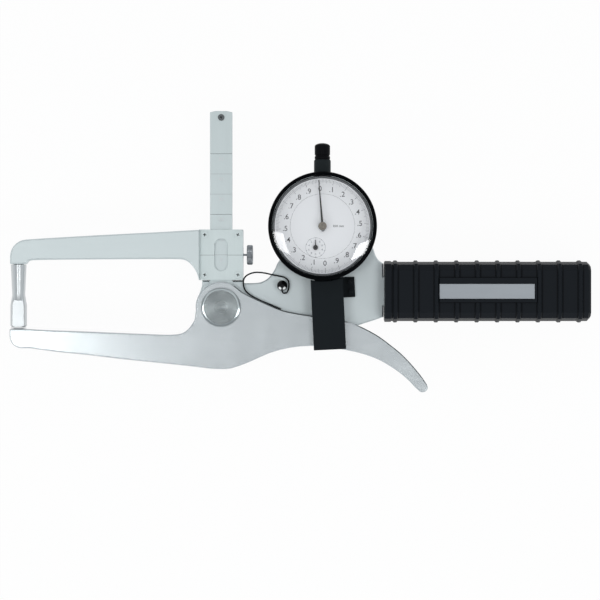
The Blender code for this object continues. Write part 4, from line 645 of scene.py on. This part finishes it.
# %% [markdown]
# ## Turned pieces
# The bezel, the crystal, the cap and the pivot's head were all turned on a lathe. Each is one
# profile of radius and height, spun about its axis in many fine steps, so its rim reflects as a
# true circle. The profile is closed on the axis, or on itself where the piece is a ring.

# %% Spin a profile
def spun_mesh(name, profile, centre, axis, steps, knurl):
    """Spins rows of radius, height and, where there is a knurl, the row's share of its depth."""
    work = bmesh.new()
    rows = []
    for reach, height, *share in profile:
        row = []
        for index in range(1 if reach == 0 else steps):
            angle = 2 * math.pi * index / steps
            far = reach - knurl * sum(share) * (index % 2)
            side, up = far * math.cos(angle), far * math.sin(angle)
            spot = {"X": (height, side, up), "Y": (up, height, side), "Z": (side, up, height)}[axis]
            row.append(work.verts.new(Vector(spot) + Vector(centre)))
        rows.append(row)
    if profile[0][0] != 0:
        rows.append(rows[0])
    for low, high in zip(rows, rows[1:]):
        for index in range(steps):
            after = (index + 1) % steps
            ring = [low[index % len(low)], low[after % len(low)]]
            ring += [high[after % len(high)], high[index % len(high)]]
            corners = list(dict.fromkeys(ring))
            if len(corners) > 2:
                work.faces.new(corners)
    bmesh.ops.recalc_face_normals(work, faces=work.faces)
    mesh = bpy.data.meshes.new(name)
    work.to_mesh(mesh)
    work.free()
    return mesh


def spun(name, profile, centre, look, axis="Z", steps=96, angle=40, knurl=0.0):
    piece = new_piece(name, spun_mesh(name, profile, centre, axis, steps, knurl), look)
    smooth(piece, angle)
    tell(piece)
    return piece


def rounded(corner, size, start, steps=4):
    """Points of a quarter circle for a profile's rounded corner."""
    points = []
    for index in range(steps + 1):
        angle = math.radians(start + 90 * index / steps)
        points.append((corner[0] + size * math.cos(angle), corner[1] + size * math.sin(angle)))
    return points


# %% The bezel, with a grip band let into its side
def reach_of(node, axis="x"):
    low, high = span(node, axis)
    return (high - low) / 2


back, top = span("bezel")
glass_back, glass_top = span("crystal")
RIM = reach_of("bezel")
BAND = RIM - 0.00025
SEAT = 0.0003
OPENING, LIP, GROOVE = 0.0250, 0.02465, 0.02560
profile = [
    (OPENING, back), (RIM - 0.0004, back), (RIM, back + 0.0004), (RIM, back + 0.0011),
    (BAND, back + 0.0013), (BAND, back + 0.0045), (RIM, back + 0.0047),
]
profile += rounded((RIM - 0.0013, top - 0.0013), 0.0013, 0, 6)
profile += [
    (OPENING, top), (0.02472, top - 0.0001), (LIP, top - 0.00025), (LIP, top - 0.0005),
    (GROOVE, top - 0.0005), (GROOVE, glass_back - SEAT), (OPENING, glass_back - SEAT),
]
stand_for(spun("bezel_turned", profile, GAUGE, "gloss_black", steps=160), "bezel")
print("bezel radius", round(RIM, 5), "height", round(top - back, 5))

# %% The crystal, flat in the middle and curved down towards its rim
FLAT = 0.0150
EDGE = 0.0250
TILT = math.radians(10)
profile = [(0, glass_top)]
height = glass_top
for index in range(25):
    profile.append((FLAT + (EDGE - FLAT) * index / 24, height))
    height -= math.tan(TILT * (index + 0.5) / 24) * (EDGE - FLAT) / 24
profile += [(EDGE + 0.0002, profile[-1][1] - 0.0001), (EDGE + 0.0002, glass_back), (0, glass_back)]
stand_for(spun("crystal_turned", profile, GAUGE, "crystal", steps=128, angle=50), "crystal")

# %% The dial's divided ring and its sloped metal rim
ring_back, ring_top = span("dial_ring")
HOLE, RING_RIM = 0.01586, 0.0246
profile = [
    (HOLE, ring_back), (RING_RIM, ring_back), (RING_RIM, ring_top - 0.0001), (0.0245, ring_top),
    (0.0243, ring_top), (0.0240, DIAL_FRONT + 0.0016), (0.0233, DIAL_FRONT), (HOLE, DIAL_FRONT),
]
ring = spun("dial_ring_turned", profile, GAUGE, "dial_white", steps=160, angle=25)
stand_for(ring, "dial_ring")

# %% The sleeve and the domed cap above the gauge
stem_axis = middle("upper_stem")
stem_axis.y = 0
reach = reach_of("upper_stem")
start, end = span("upper_stem", "y")
BORE = 0.0026
profile = [
    (BORE, start), (reach, start), (reach, end - 0.0007), (reach - 0.0002, end - 0.0002),
    (reach - 0.0006, end), (BORE, end),
]
stand_for(spun("sleeve_turned", profile, stem_axis, "sleeve_black", "Y", 64), "upper_stem")
reach = reach_of("dust_cap")
foot, crown = span("dust_cap", "y")
profile = [
    (0, crown - 0.0010), (0.0022, crown - 0.0014), (0.0027, crown - 0.0024), (0.0027, end),
    (reach - 0.0001, end), (reach - 0.0001, foot), (reach, foot + 0.0001),
    (reach, foot + 0.0011), (reach - 0.0003, foot + 0.0014), (reach - 0.0003, foot + 0.0018),
    (reach, foot + 0.0021),
]
for index in range(8):
    angle = math.radians(90 * index / 8)
    profile.append((reach * math.cos(angle), crown - 0.0016 * (1 - math.sin(angle))))
profile.append((0, crown))
stand_for(spun("cap_turned", profile, stem_axis, "hand_black", "Y", 64), "dust_cap")

# %% The pivot's wide round head
screw_back, knob_top = span("pivot_screw")
knob_back = front("lever") + SEAT
seat = front("frame_plate") + SEAT
KNOB = reach_of("pivot_screw")
SHANK, COLLAR = 0.0025, 0.0035
profile = [
    (0, screw_back), (0.0023, screw_back), (SHANK, screw_back + 0.0002), (SHANK, seat),
    (COLLAR, seat), (COLLAR, knob_back), (KNOB - 0.0002, knob_back), (KNOB, knob_back + 0.0002),
    (KNOB, knob_top - 0.0003),
]
for index in range(9):
    share = 1 - index / 8
    profile.append((KNOB - 0.0012 + 0.0011 * share, knob_top - 0.00019 * share ** 1.5))
profile += [(0.0012, knob_top - 0.00002), (0.0003, knob_top - 0.00008), (0, knob_top - 0.0001)]
head = spun("pivot_head_turned", profile, (0, 0, 0), "knob_steel", steps=128, angle=25)
stand_for(head, "pivot_screw")

# %% The ball post
post = middle("spring_post")
low, high = span("spring_post")
BALL, POST, FLANGE = 0.0026, 0.0012, 0.0021
neck = high - BALL - math.sqrt(BALL ** 2 - POST ** 2)
base = front("frame_plate") + SEAT
profile = [
    (0, low), (POST, low), (POST, base), (0.0020, base), (FLANGE, base + 0.0001),
    (FLANGE, base + 0.0010), (0.0019, base + 0.0012), (POST, base + 0.0013), (POST, neck),
]
low_edge = math.asin(POST / BALL)
for index in range(1, 16):
    angle = low_edge + (math.pi - low_edge) * index / 16
    profile.append((BALL * math.sin(angle), high - BALL - BALL * math.cos(angle)))
profile.append((0, high))
ball = spun("ball_post_turned", profile, (post.x, post.y, 0), "ball_black", steps=48)
stand_for(ball, "spring_post")

# %% The boss of the long hand and its counterweight
hand_back, hub_top = span("main_hand")
HUB = 0.00205
profile = [
    (0, hand_back + 0.0003), (HUB, hand_back + 0.0003), (HUB, hub_top),
    (0.0019, hub_top + 0.00015), (0.0012, hub_top + 0.00018), (0.00105, hub_top + 0.0001),
    (0.0009, hub_top + 0.00018), (0, hub_top + 0.00022),
]
boss = spun("hand_boss", profile, GAUGE, "hand_bronze", steps=48)
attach(boss, "main_hand")
tail = Vector((0.0003, -0.0013, 0)) + GAUGE
profile = [
    (0, hand_back + 0.00032), (0.0011, hand_back + 0.00032), (0.0011, hand_back + 0.0008),
    (0.00095, hand_back + 0.0010), (0, hand_back + 0.0010),
]
weight = spun("hand_weight", profile, tail, "dark_steel", steps=32)
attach(weight, "main_hand")

# %% [markdown]
# ## The lock screw
# The thumb screw's head has a straight knurl, so fingers can grip it. We spin the head as before,
# but every second point of a knurled row is pushed in, which cuts the rim into fine teeth. The
# third number of a row is its share of the knurl's depth.

# %% Spin the knurled head
screw_start, screw_end = span("lock_screw", "x")
HEAD = reach_of("lock_screw", "y")
head_start = screw_end - 0.0030
neck_start = span("slider_cover", "x")[1]
screw_axis = (0, middle("lock_screw").y, middle("lock_screw").z)
THREAD, NECK = 0.0012, 0.0005
rows = [
    (0, screw_start, 0), (0.0011, screw_start, 0), (THREAD, screw_start + 0.0001, 0),
    (THREAD, neck_start, 0), (NECK, neck_start + 0.0002, 0), (NECK, head_start, 0),
    (HEAD - 0.0006, head_start, 0), (HEAD - 0.0002, head_start + 0.0002, 0.3),
    (HEAD, head_start + 0.0005, 1), (HEAD, screw_end - 0.0005, 1),
    (HEAD - 0.0002, screw_end - 0.0002, 0.3), (HEAD - 0.0006, screw_end, 0),
    (HEAD - 0.0016, screw_end, 0), (HEAD - 0.0018, screw_end - 0.0002, 0),
    (0, screw_end - 0.0002, 0),
]
TEETH = 48
KNURL = 0.00018
head = spun("lock_screw_knurled", rows, screw_axis, "lock_steel", "X", 2 * TEETH, 30, KNURL)
stand_for(head, "lock_screw")

# %% [markdown]
# ## Patterns that repeat
# Divisions, ribs and screws repeat by a rule, which is work for Geometry Nodes. Each pattern is a
# tree with named sizes: it places points, puts one small shape on each, and makes them real. The
# same bench that writes finishes writes the trees, and the result is kept as plain mesh.

# %% A pattern tree
KINDS = {
    int: "NodeSocketInt", float: "NodeSocketFloat", tuple: "NodeSocketVector",
    bpy.types.Material: "NodeSocketMaterial",
}


class Pattern(Bench):
    """A Geometry Nodes tree with named sizes."""

    def __init__(self, name, **sizes):
        self.tree = bpy.data.node_groups.new(name, "GeometryNodeTree")
        sockets = self.tree.interface
        sockets.new_socket("Geometry", in_out="INPUT", socket_type="NodeSocketGeometry")
        self.keys = {}
        for size, value in sizes.items():
            made = sockets.new_socket(size, in_out="INPUT", socket_type=KINDS[type(value)])
            made.default_value = value
            self.keys[size] = made.identifier
        sockets.new_socket("Geometry", in_out="OUTPUT", socket_type="NodeSocketGeometry")
        self.entry = self.tree.nodes.new("NodeGroupInput")
        self.exit = self.tree.nodes.new("NodeGroupOutput")

    def size(self, name):
        return Reading(self, self.entry.outputs[name])

    def vector(self, x=0.0, y=0.0, z=0.0):
        return self.node("ShaderNodeCombineXYZ", {0: x, 1: y, 2: z})

    def painted(self, shape, look="Look"):
        sockets = {0: shape, "Material": self.size(look)}
        return self.node("GeometryNodeSetMaterial", sockets)

    def copies(self, points, shape, turn=None):
        """The shape on each point, turned by a vector of angles."""
        sockets = {"Points": points, "Instance": shape}
        if turn:
            sockets["Rotation"] = self.node("FunctionNodeEulerToRotation", {0: turn})
        return self.node("GeometryNodeInstanceOnPoints", sockets)

    def grow(self, shape):
        real = self.node("GeometryNodeRealizeInstances", {0: shape})
        self.fill(self.exit.inputs[0], self.painted(real))
        return self


# %% Grow a pattern and join pieces
def grown(name, pattern, places=(), **sizes):
    """Runs a pattern on the given points and keeps the result as plain mesh."""
    piece = placed(name, mesh_of(name, places))
    modifier = piece.modifiers.new("pattern", "NODES")
    modifier.node_group = pattern.tree
    for size, value in sizes.items():
        modifier[pattern.keys[size]] = LOOKS[value] if isinstance(value, str) else value
    settle(piece)
    drop_empty_slots(piece.data)
    tell(piece)
    return piece


def drop_empty_slots(mesh):
    used = sorted({face.material_index for face in mesh.polygons})
    looks = [mesh.materials[index] for index in used]
    order = [used.index(face.material_index) for face in mesh.polygons]
    mesh.materials.clear()
    for look in looks:
        mesh.materials.append(look)
    mesh.polygons.foreach_set("material_index", order)


def joined(name, pieces):
    """One piece made of several that ride the same body."""
    work = bmesh.new()
    looks = []
    for piece in pieces:
        look = piece.data.materials[0]
        if look not in looks:
            looks.append(look)
        start = len(work.faces)
        work.from_mesh(piece.data)
        work.faces.ensure_lookup_table()
        for face in work.faces[start:]:
            face.material_index = looks.index(look)
    mesh = bpy.data.meshes.new(name)
    work.to_mesh(mesh)
    work.free()
    for look in looks:
        mesh.materials.append(look)
    for piece in pieces:
        bpy.data.objects.remove(piece)
    whole = placed(name, mesh)
    tell(whole)
    return whole


# %% Marks in a ring and marks in a row
def ring_pattern():
    pattern = Pattern(
        "ring_of_marks", Count=12, Radius=0.01, Length=0.001, Width=0.0001, Height=0.0001,
        Turn=0.0, Centre=(0.0, 0.0, 0.0), Look=LOOKS["ink"],
    )
    index = Reading(pattern, pattern.node("GeometryNodeInputIndex"))
    angle = pattern.size("Turn") + index * (2 * math.pi) / pattern.size("Count")
    x = pattern.maths("COSINE", angle) * pattern.size("Radius")
    y = pattern.maths("SINE", angle) * pattern.size("Radius")
    sockets = {0: pattern.vector(x, y), 1: pattern.size("Centre")}
    spot = pattern.node("ShaderNodeVectorMath", sockets, operation="ADD")
    sockets = {"Count": pattern.size("Count"), "Position": spot}
    points = pattern.node("GeometryNodePoints", sockets)
    size = pattern.vector(pattern.size("Length"), pattern.size("Width"), pattern.size("Height"))
    mark = pattern.node("GeometryNodeMeshCube", {"Size": size})
    return pattern.grow(pattern.copies(points, mark, pattern.vector(z=angle)))


def row_pattern():
    pattern = Pattern(
        "row_of_marks", Count=5, Start=(0.0, 0.0, 0.0), Step=(0.0, 0.01, 0.0),
        Size=(0.01, 0.001, 0.001), Look=LOOKS["groove"],
    )
    entry = pattern.entry.outputs
    sockets = {"Count": entry["Count"], "Start Location": entry["Start"], "Offset": entry["Step"]}
    line = pattern.node("GeometryNodeMeshLine", sockets, mode="OFFSET")
    mark = pattern.node("GeometryNodeMeshCube", {"Size": entry["Size"]})
    return pattern.grow(pattern.copies(line, mark))


RING = ring_pattern()
ROW = row_pattern()

# %% [markdown]
# ## Screws
# The cover's screws lie flush in their seats, with a cross cut for the driver, and the cut is
# filled dark as painted shade. The pattern makes one screw: a head with a cut cross, its shank,
# and that dark fill. It stands on each point that we read from the solids, turned by a fixed
# random amount, as fitters leave them.

# %% One screw on each point
def screw_pattern():
    pattern = Pattern(
        "cross_screws", Radius=0.0016, Height=0.0009, Crown=0.93, Shank=0.0009, Length=0.0045,
        Cross=0.0004, Reach=0.9, Depth=0.00025, Seed=3, Look=LOOKS["stop_steel"],
        Dirt=LOOKS["recess_dirt"],
    )
    radius, height = pattern.size("Radius"), pattern.size("Height")
    length, depth = pattern.size("Length"), pattern.size("Depth")

    def lowered(shape, drop):
        sockets = {0: shape, "Translation": pattern.vector(z=0 - drop)}
        return pattern.node("GeometryNodeTransform", sockets)

    top = {"Vertices": 28, "Radius Top": radius * pattern.size("Crown"), "Radius Bottom": radius}
    crown = pattern.node("GeometryNodeMeshCone", {**top, "Depth": height * 0.12})
    sockets = {"Vertices": 28, "Radius": radius, "Depth": height * 0.89}
    barrel = pattern.node("GeometryNodeMeshCylinder", sockets)
    sockets = {"Vertices": 16, "Radius": pattern.size("Shank"), "Depth": length - height * 0.9}
    stem = pattern.node("GeometryNodeMeshCylinder", sockets)
    head = pattern.node("GeometryNodeMeshBoolean", operation="UNION")
    stem_drop = height * 0.45 + length * 0.5
    for shape, drop in ((crown, height * 0.12), (barrel, height * 0.555), (stem, stem_drop)):
        pattern.fill(head.inputs["Mesh 2"], lowered(shape, drop))
    cut = pattern.node("GeometryNodeMeshBoolean", {"Mesh 1": head}, operation="DIFFERENCE")
    whole = pattern.node("GeometryNodeJoinGeometry")
    long, thin = radius * pattern.size("Reach"), pattern.size("Cross")
    for wide, high in ((long, thin), (thin, long)):
        bar = pattern.node("GeometryNodeMeshCube", {"Size": pattern.vector(wide, high, depth * 2)})
        pattern.fill(cut.inputs["Mesh 2"], bar)
        # A thin dark box in each cut is painted shade in the cross.
        size = pattern.vector(wide * 0.99, high * 0.98, depth * 0.6)
        dirt = lowered(pattern.node("GeometryNodeMeshCube", {"Size": size}), depth * 0.5)
        pattern.fill(whole.inputs[0], pattern.painted(dirt, "Dirt"))
    pattern.fill(whole.inputs[0], pattern.painted(cut))
    limits = {"Min": 0.0, "Max": math.pi / 2, "Seed": pattern.size("Seed")}
    amount = pattern.typed("FunctionNodeRandomValue", "FLOAT", limits)
    copies = pattern.copies(pattern.entry, whole, pattern.vector(z=amount))
    real = pattern.node("GeometryNodeRealizeInstances", {0: copies})
    pattern.fill(pattern.exit.inputs[0], real)
    return pattern


SCREWS = screw_pattern()


def screws(name, names, wider=0.0, **sizes):
    places = [(*middle(node).xy, front(node)) for node in names]
    piece = grown(name, SCREWS, places, Radius=reach_of(names[0]) + wider, **sizes)
    smooth(piece, 30)
    stand_for(piece, *names)


def numbered(name, count):
    return ["%s_%d" % (name, number) for number in range(1, count + 1)]


screws("cover_screws", numbered("cover_screw", 4), 0.00024, Crown=0.985, Look="cover_steel")
screws("bracket_screws", numbered("bracket_screw", 2), Seed=5, Look="satin_black")
screws("stop_screw", ["bar_stop_screw"], Length=0.0030, Seed=1, Look="stop_steel")

# %% [markdown]
# ## The dial's print
# Two hundred fine divisions run round the dial, longer at each fifth and tenth. The figures count
# tenths of a millimetre, twice round. The whole ring stands turned by nearly four degrees, as
# somebody left it. Figures start as text, become mesh at once, and only then go to their places.

# %% Divisions
RING_TURN = math.radians(90 + 3.8)
ON_DIAL = DIAL_FRONT + INK_HEIGHT / 2
centre = (GAUGE.x, GAUGE.y, ON_DIAL)
OUTER = 0.02300


def divisions(look, count, reach, length, width, turn, spot):
    """A ring of printed marks round a spot."""
    sizes = {"Count": count, "Radius": reach, "Length": length, "Width": width}
    return grown("marks", RING, Height=INK_HEIGHT, Turn=turn, Centre=spot, Look=look, **sizes)


ring_marks = []
for look, count, length, width in [
    ("fine_ink", 200, 0.0016, 0.00010), ("fine_ink", 40, 0.0021, 0.00012),
    ("ink", 20, 0.0025, 0.00015),
]:
    reach = OUTER - length / 2
    ring_marks.append(divisions(look, count, reach, length, width, RING_TURN, centre))


# %% Figures
def figure(words, size, spot, look, bold=0.0):
    """Words as a thin mesh, centred on a spot of the surface."""
    text = bpy.data.curves.new("figure", "FONT")
    text.body = words
    text.size = size
    text.align_x = text.align_y = "CENTER"
    text.extrude = INK_HEIGHT / 2
    text.offset = bold
    text.resolution_u = 3
    letters = placed("figure", text)
    mesh = baked(letters)
    bpy.data.objects.remove(letters)
    mesh.transform(Matrix.Translation(spot))
    return new_piece("figure", mesh, look)


def around(spot, reach, angle):
    return Vector((math.cos(angle), math.sin(angle), 0)) * reach + Vector(spot)


FIGURE_RING = 0.0183
for number in range(20):
    spot = around(centre, FIGURE_RING, RING_TURN - math.radians(18 * number))
    words = "0" if number % 10 == 0 else ".%d" % (number % 10)
    ring_marks.append(figure(words, 0.0036, spot, "ink", 0.00001))
ring_print = joined("dial_ring_print", ring_marks)
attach(ring_print, "bezel")

# %% The small dial and the reading of one division
small = (SUB_DIAL.x, SUB_DIAL.y, ON_DIAL)
face_marks = []
for row in [
    ("fine_ink", 50, 0.00480, 0.00018, 0.00040), ("ink", 10, 0.00465, 0.00060, 0.00014),
]:
    face_marks.append(divisions(*row, math.radians(90), small))
SMALL_FIGURE_RING = 0.0034
for number in range(10):
    spot = around(small, SMALL_FIGURE_RING, math.radians(90 + 36 * number))
    face_marks.append(figure(str(2 * number % 10), 0.0014, spot, "fine_ink"))
unit_spot = (0.05784, 0.03973, ON_DIAL)
face_marks.append(figure("0.01 mm", 0.0015, unit_spot, "ink", 0.00002))
face_print = joined("dial_face_print", face_marks)
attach(face_print, "frame")

# %% Ribs in the bezel's grip band
rib_spot = (GAUGE.x, GAUGE.y, back + 0.0029)
sizes = {"Radius": BAND + 0.00001, "Length": 0.00036, "Width": 0.00062, "Height": 0.0031}
ribs = grown("bezel_ribs", RING, Count=150, Centre=rib_spot, Look="gloss_black", **sizes)
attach(ribs, "bezel")

# %% [markdown]
# ## The bar's scale and the jaw's index
# The bar is cut across at every ten millimetres, and pale figures stand under the cuts. A hair
# line crosses the jaw's cover at the height of one cut, so the jaw's place can be read.

# %% Scale lines, figures and the index line
INDEX_Y = 0.02595
BAR_X = middle("scale_bar").x
STEP = 0.0100
LINE = 0.00020
lines = []
for first, count, look in ((-1, 3, "groove"), (0, 2, "worn_groove"), (1, 2, "worn_groove")):
    sizes = {"Start": (BAR_X, INDEX_Y + first * STEP, BAR_FRONT), "Step": (0.0, 3 * STEP, 0.0)}
    sizes["Size"] = (0.0108, LINE, INK_HEIGHT)
    lines.append(grown("lines", ROW, Count=count, Look=look, **sizes))
for number in range(6):
    spot = (BAR_X, INDEX_Y + STEP * number - 0.0026, BAR_FRONT)
    lines.append(figure(str(10 * number), 0.0026, spot, "pale_fill"))
scale_print = joined("bar_scale", lines)
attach(scale_print, "frame")
cover_left, cover_right = span("slider_cover", "x")
hair = []
for low, high in [(cover_left + 0.0001, -0.00335), (0.00335, cover_right - 0.0001)]:
    size = (high - low, 0.00016, INK_HEIGHT)
    start = ((low + high) / 2, INDEX_Y - 0.0002, COVER_FRONT)
    hair.append(grown("hair", ROW, Count=1, Start=start, Size=size))
index_line = joined("index_line", hair)
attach(index_line, "jaw_slider")

# %% [markdown]
# ## Seams beside the jaw's cover
# The cover fits its jaw without a gap one can see into, so a thin strip closes the seam along the
# arm. Where the jaw comes down on the frame's two shoulders, two short dark lines are painted as
# painted shade of the gap beneath it. Two narrow shims close the slots between the bar and the
# shoulders.

# %% The strip along the cover and the painted shade on the shoulders
cover_low, cover_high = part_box("slider_cover")
size = (0.0004, cover_high.y - cover_low.y, COVER_FRONT - front("frame_plate"))
start = (cover_low.x - 0.00016, middle("slider_cover").y, COVER_FRONT - size[2] / 2 - 0.00002)
seam = grown("cover_seam", ROW, Count=1, Start=start, Size=size, Look="cover_steel")
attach(seam, "jaw_slider")
# Four dark strips along the shoulders are painted shade of the gap under the jaw; the last two
# strips are silver shims.
dirt = []
for low, high, look in (
    (-0.0093, -0.0068, "worn_groove"), (-0.0068, -0.0055, "recess_dirt"),
    (0.0055, 0.0068, "recess_dirt"), (0.0068, 0.0109, "groove"),
):
    start = ((low + high) / 2, cover_low.y - 0.00012, front("frame_plate") - 0.0006)
    size = (high - low, 0.00024, 0.0010)
    dirt.append(grown("dirt", ROW, Count=1, Start=start, Size=size, Look=look))
start = (-0.00565, 0.0118, front("frame_plate") - 0.00102)
sizes = {"Start": start, "Step": (0.0113, 0.0, 0.0), "Size": (0.0004, 0.0026, 0.0020)}
dirt.append(grown("shim", ROW, Count=2, Look="frame_silver", **sizes))
shoulder_shade_and_shims = joined("shoulder_shade_and_shims", dirt)
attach(shoulder_shade_and_shims, "frame")

# %% [markdown]
# ## The grip
# The grip's two shells are moulded plastic. Around the name plate the front shell has a raised
# field, where the four middle ribs stop. We build it as a frame of two rounded rectangles that
# stands on the shell, and its edges are broken like the others.

# %% Dress the shells and add the field around the plate
def rectangle(low, high, radius):
    """Corner points of a rectangle with round corners, counter-clockwise."""
    (left, bottom), (right, top) = low, high
    points = []
    for start, x, y, across, up in (
        (180, left, bottom, 1, 1), (270, right, bottom, -1, 1),
        (0, right, top, -1, -1), (90, left, top, 1, -1),
    ):
        points += rounded((x + across * radius, y + up * radius), radius, start)
    return points


def frame_mesh(outer, inner, back, top):
    """A flat frame between two outlines with as many points each."""
    count = len(outer)
    rows = [(outer, back), (outer, top), (inner, top), (inner, back)]
    corners = [(*point, height) for outline, height in rows for point in outline]
    sides = []
    for row in range(4):
        for index in range(count):
            low, high = row * count, (row + 1) % 4 * count
            after = (index + 1) % count
            sides.append((low + index, low + after, high + after, high + index))
    return mesh_of("frame", corners, sides)


plate_low, plate_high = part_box("name_plate")
field_top = front("grip_front_shell") + 0.00005
FIELD_DEPTH, GAP = 0.0009, 0.0001
field_back = field_top - FIELD_DEPTH
low = (plate_low.x - GAP, plate_low.y - GAP)
high = (plate_high.x + GAP, plate_high.y + GAP)
inner = rectangle(low, high, 0.0002)
outer = rectangle(*FIELD, 0.0006)
field = new_piece("grip_field", frame_mesh(outer, inner, field_back, field_top), "field_black")
smooth(field, 50)
break_edges(field, 0.0002)
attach(field, "frame")
tell(field)
dress("grip_front_shell", "moulded_black", 0.00018)
dress("grip_rear_shell", "moulded_black", 0.00018)

# %% [markdown]
# ## Small and hidden pieces
# Pins, rivets, gears and springs have the right shape already. They keep their solids and only
# get their finish.

# %% Finish the solids that stay
KEPT = {
    "bar_steel": numbered("bar_rivet", 2),
    "bright_steel": ["pivot_nut", "contact_pin", "spindle", "guide_pin", "contact_point"],
    "bronze": ["pivot_bush"],
    "brass": ["lock_pad", "movement_plate", "centre_pinion", "rack_gear", "take_up_gear"],
    "dark_steel": ["gauge_back_cover", "spindle_spring", "hairspring"]
    + numbered("grip_screw", 3) + numbered("back_screw", 4),
    "satin_black": ["lower_stem"],
}
for look, names in KEPT.items():
    for node in names:
        solid = nodes[node]
        if not solid.material_slots:
            solid.data.materials.append(LOOKS[look])
        for slot in solid.material_slots:
            slot.material = LOOKS[look]
    print(look, "for", *names)

# %% [markdown]
# ## Floor, light and camera
# A product picture of steel needs soft lamps. Two small strong ones stand high on the left and on
# the right: they light the lever's end and show as two bright windows in the crystal and in the
# pivot head's rounded margin. A wide one fills from behind, and two low ones find the edges. The
# floor is nearly white to the camera and keeps the tool's shadow.

# %% Floor
def white_floor():
    bench = Paint("floor")
    rays = bench.node("ShaderNodeLightPath").outputs
    shown = Reading(bench, rays["Is Camera Ray"]) + rays["Is Glossy Ray"]
    shown = bench.maths("MINIMUM", shown + rays["Is Transmission Ray"], 1.0)
    paper = bench.noise(300.0, 3.0)
    white = bench.tint((0.92, 0.92, 0.92), 0.98 + paper * 0.04)
    sheet = bench.principled(Base_Color=white, Roughness=0.9)
    glow = bench.node("ShaderNodeEmission", {"Color": (1, 1, 1, 1), "Strength": 1.0})
    return bench.mixed(shown * 0.95, sheet, glow)


LOOKS["floor"] = white_floor()
half = 1.2
corners = [(-half, -half, 0), (half, -half, 0), (half, half, 0), (-half, half, 0)]
floor = new_piece("floor", mesh_of("floor", corners, [(0, 1, 2, 3)]), "floor")
floor.location.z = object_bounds()[0][2] - 0.0002
print("floor at:", round(floor.location.z, 5))


# %% Lamps and sky
def lamp(name, place, aim, size, power):
    data = bpy.data.lights.new(name, "AREA")
    data.shape = "RECTANGLE"
    data.size, data.size_y = size
    data.energy = power
    light = placed(name, data)
    light.location = place
    light.rotation_euler = (Vector(aim) - Vector(place)).to_track_quat("-Z", "Y").to_euler()


lamp("high_left", (-0.469, -0.095, 1.75), (0.02, -0.095, 0), (0.23, 0.44), 2.0)
lamp("high_right", (0.554, -0.184, 1.75), (0.05, -0.184, 0), (0.20, 0.40), 2.3)
lamp("overhead", (0.0, 0.35, 1.85), (0.03, 0, 0), (1.4, 0.8), 1.2)
lamp("low_left", (-0.62, -0.42, 0.42), (0.02, 0.0, 0.0), (0.30, 0.20), 1.0)
lamp("low_right", (0.62, -0.46, 0.52), (0.05, 0.0, 0.0), (0.30, 0.20), 1.0)

world = bpy.data.worlds.new("sky")
bpy.context.scene.world = world
sky = Bench(world)
direction = sky.node("ShaderNodeTexCoord").outputs["Generated"]
up = Reading(sky, sky.node("ShaderNodeSeparateXYZ", {0: direction}).outputs["Z"])
LOW_SKY, HIGH_SKY = 0.80, 0.44
strength = LOW_SKY - sky.between(up, 0.45, 0.85) * (LOW_SKY - HIGH_SKY)
sockets = {"Color": (0.94, 0.97, 1.0, 1), "Strength": strength}
backdrop = sky.node("ShaderNodeBackground", sockets)
sky.node("ShaderNodeOutputWorld", {"Surface": backdrop})
bpy.context.scene.view_settings.view_transform = "Standard"

# %% Camera
eye = bpy.data.cameras.new("camera")
eye.angle = math.radians(12.05)
camera = placed("camera", eye)
camera.location = (0.0390, 0.00357, 1.4153)
bpy.context.scene.camera = camera
print("camera at:", tuple(round(value, 4) for value in camera.location))
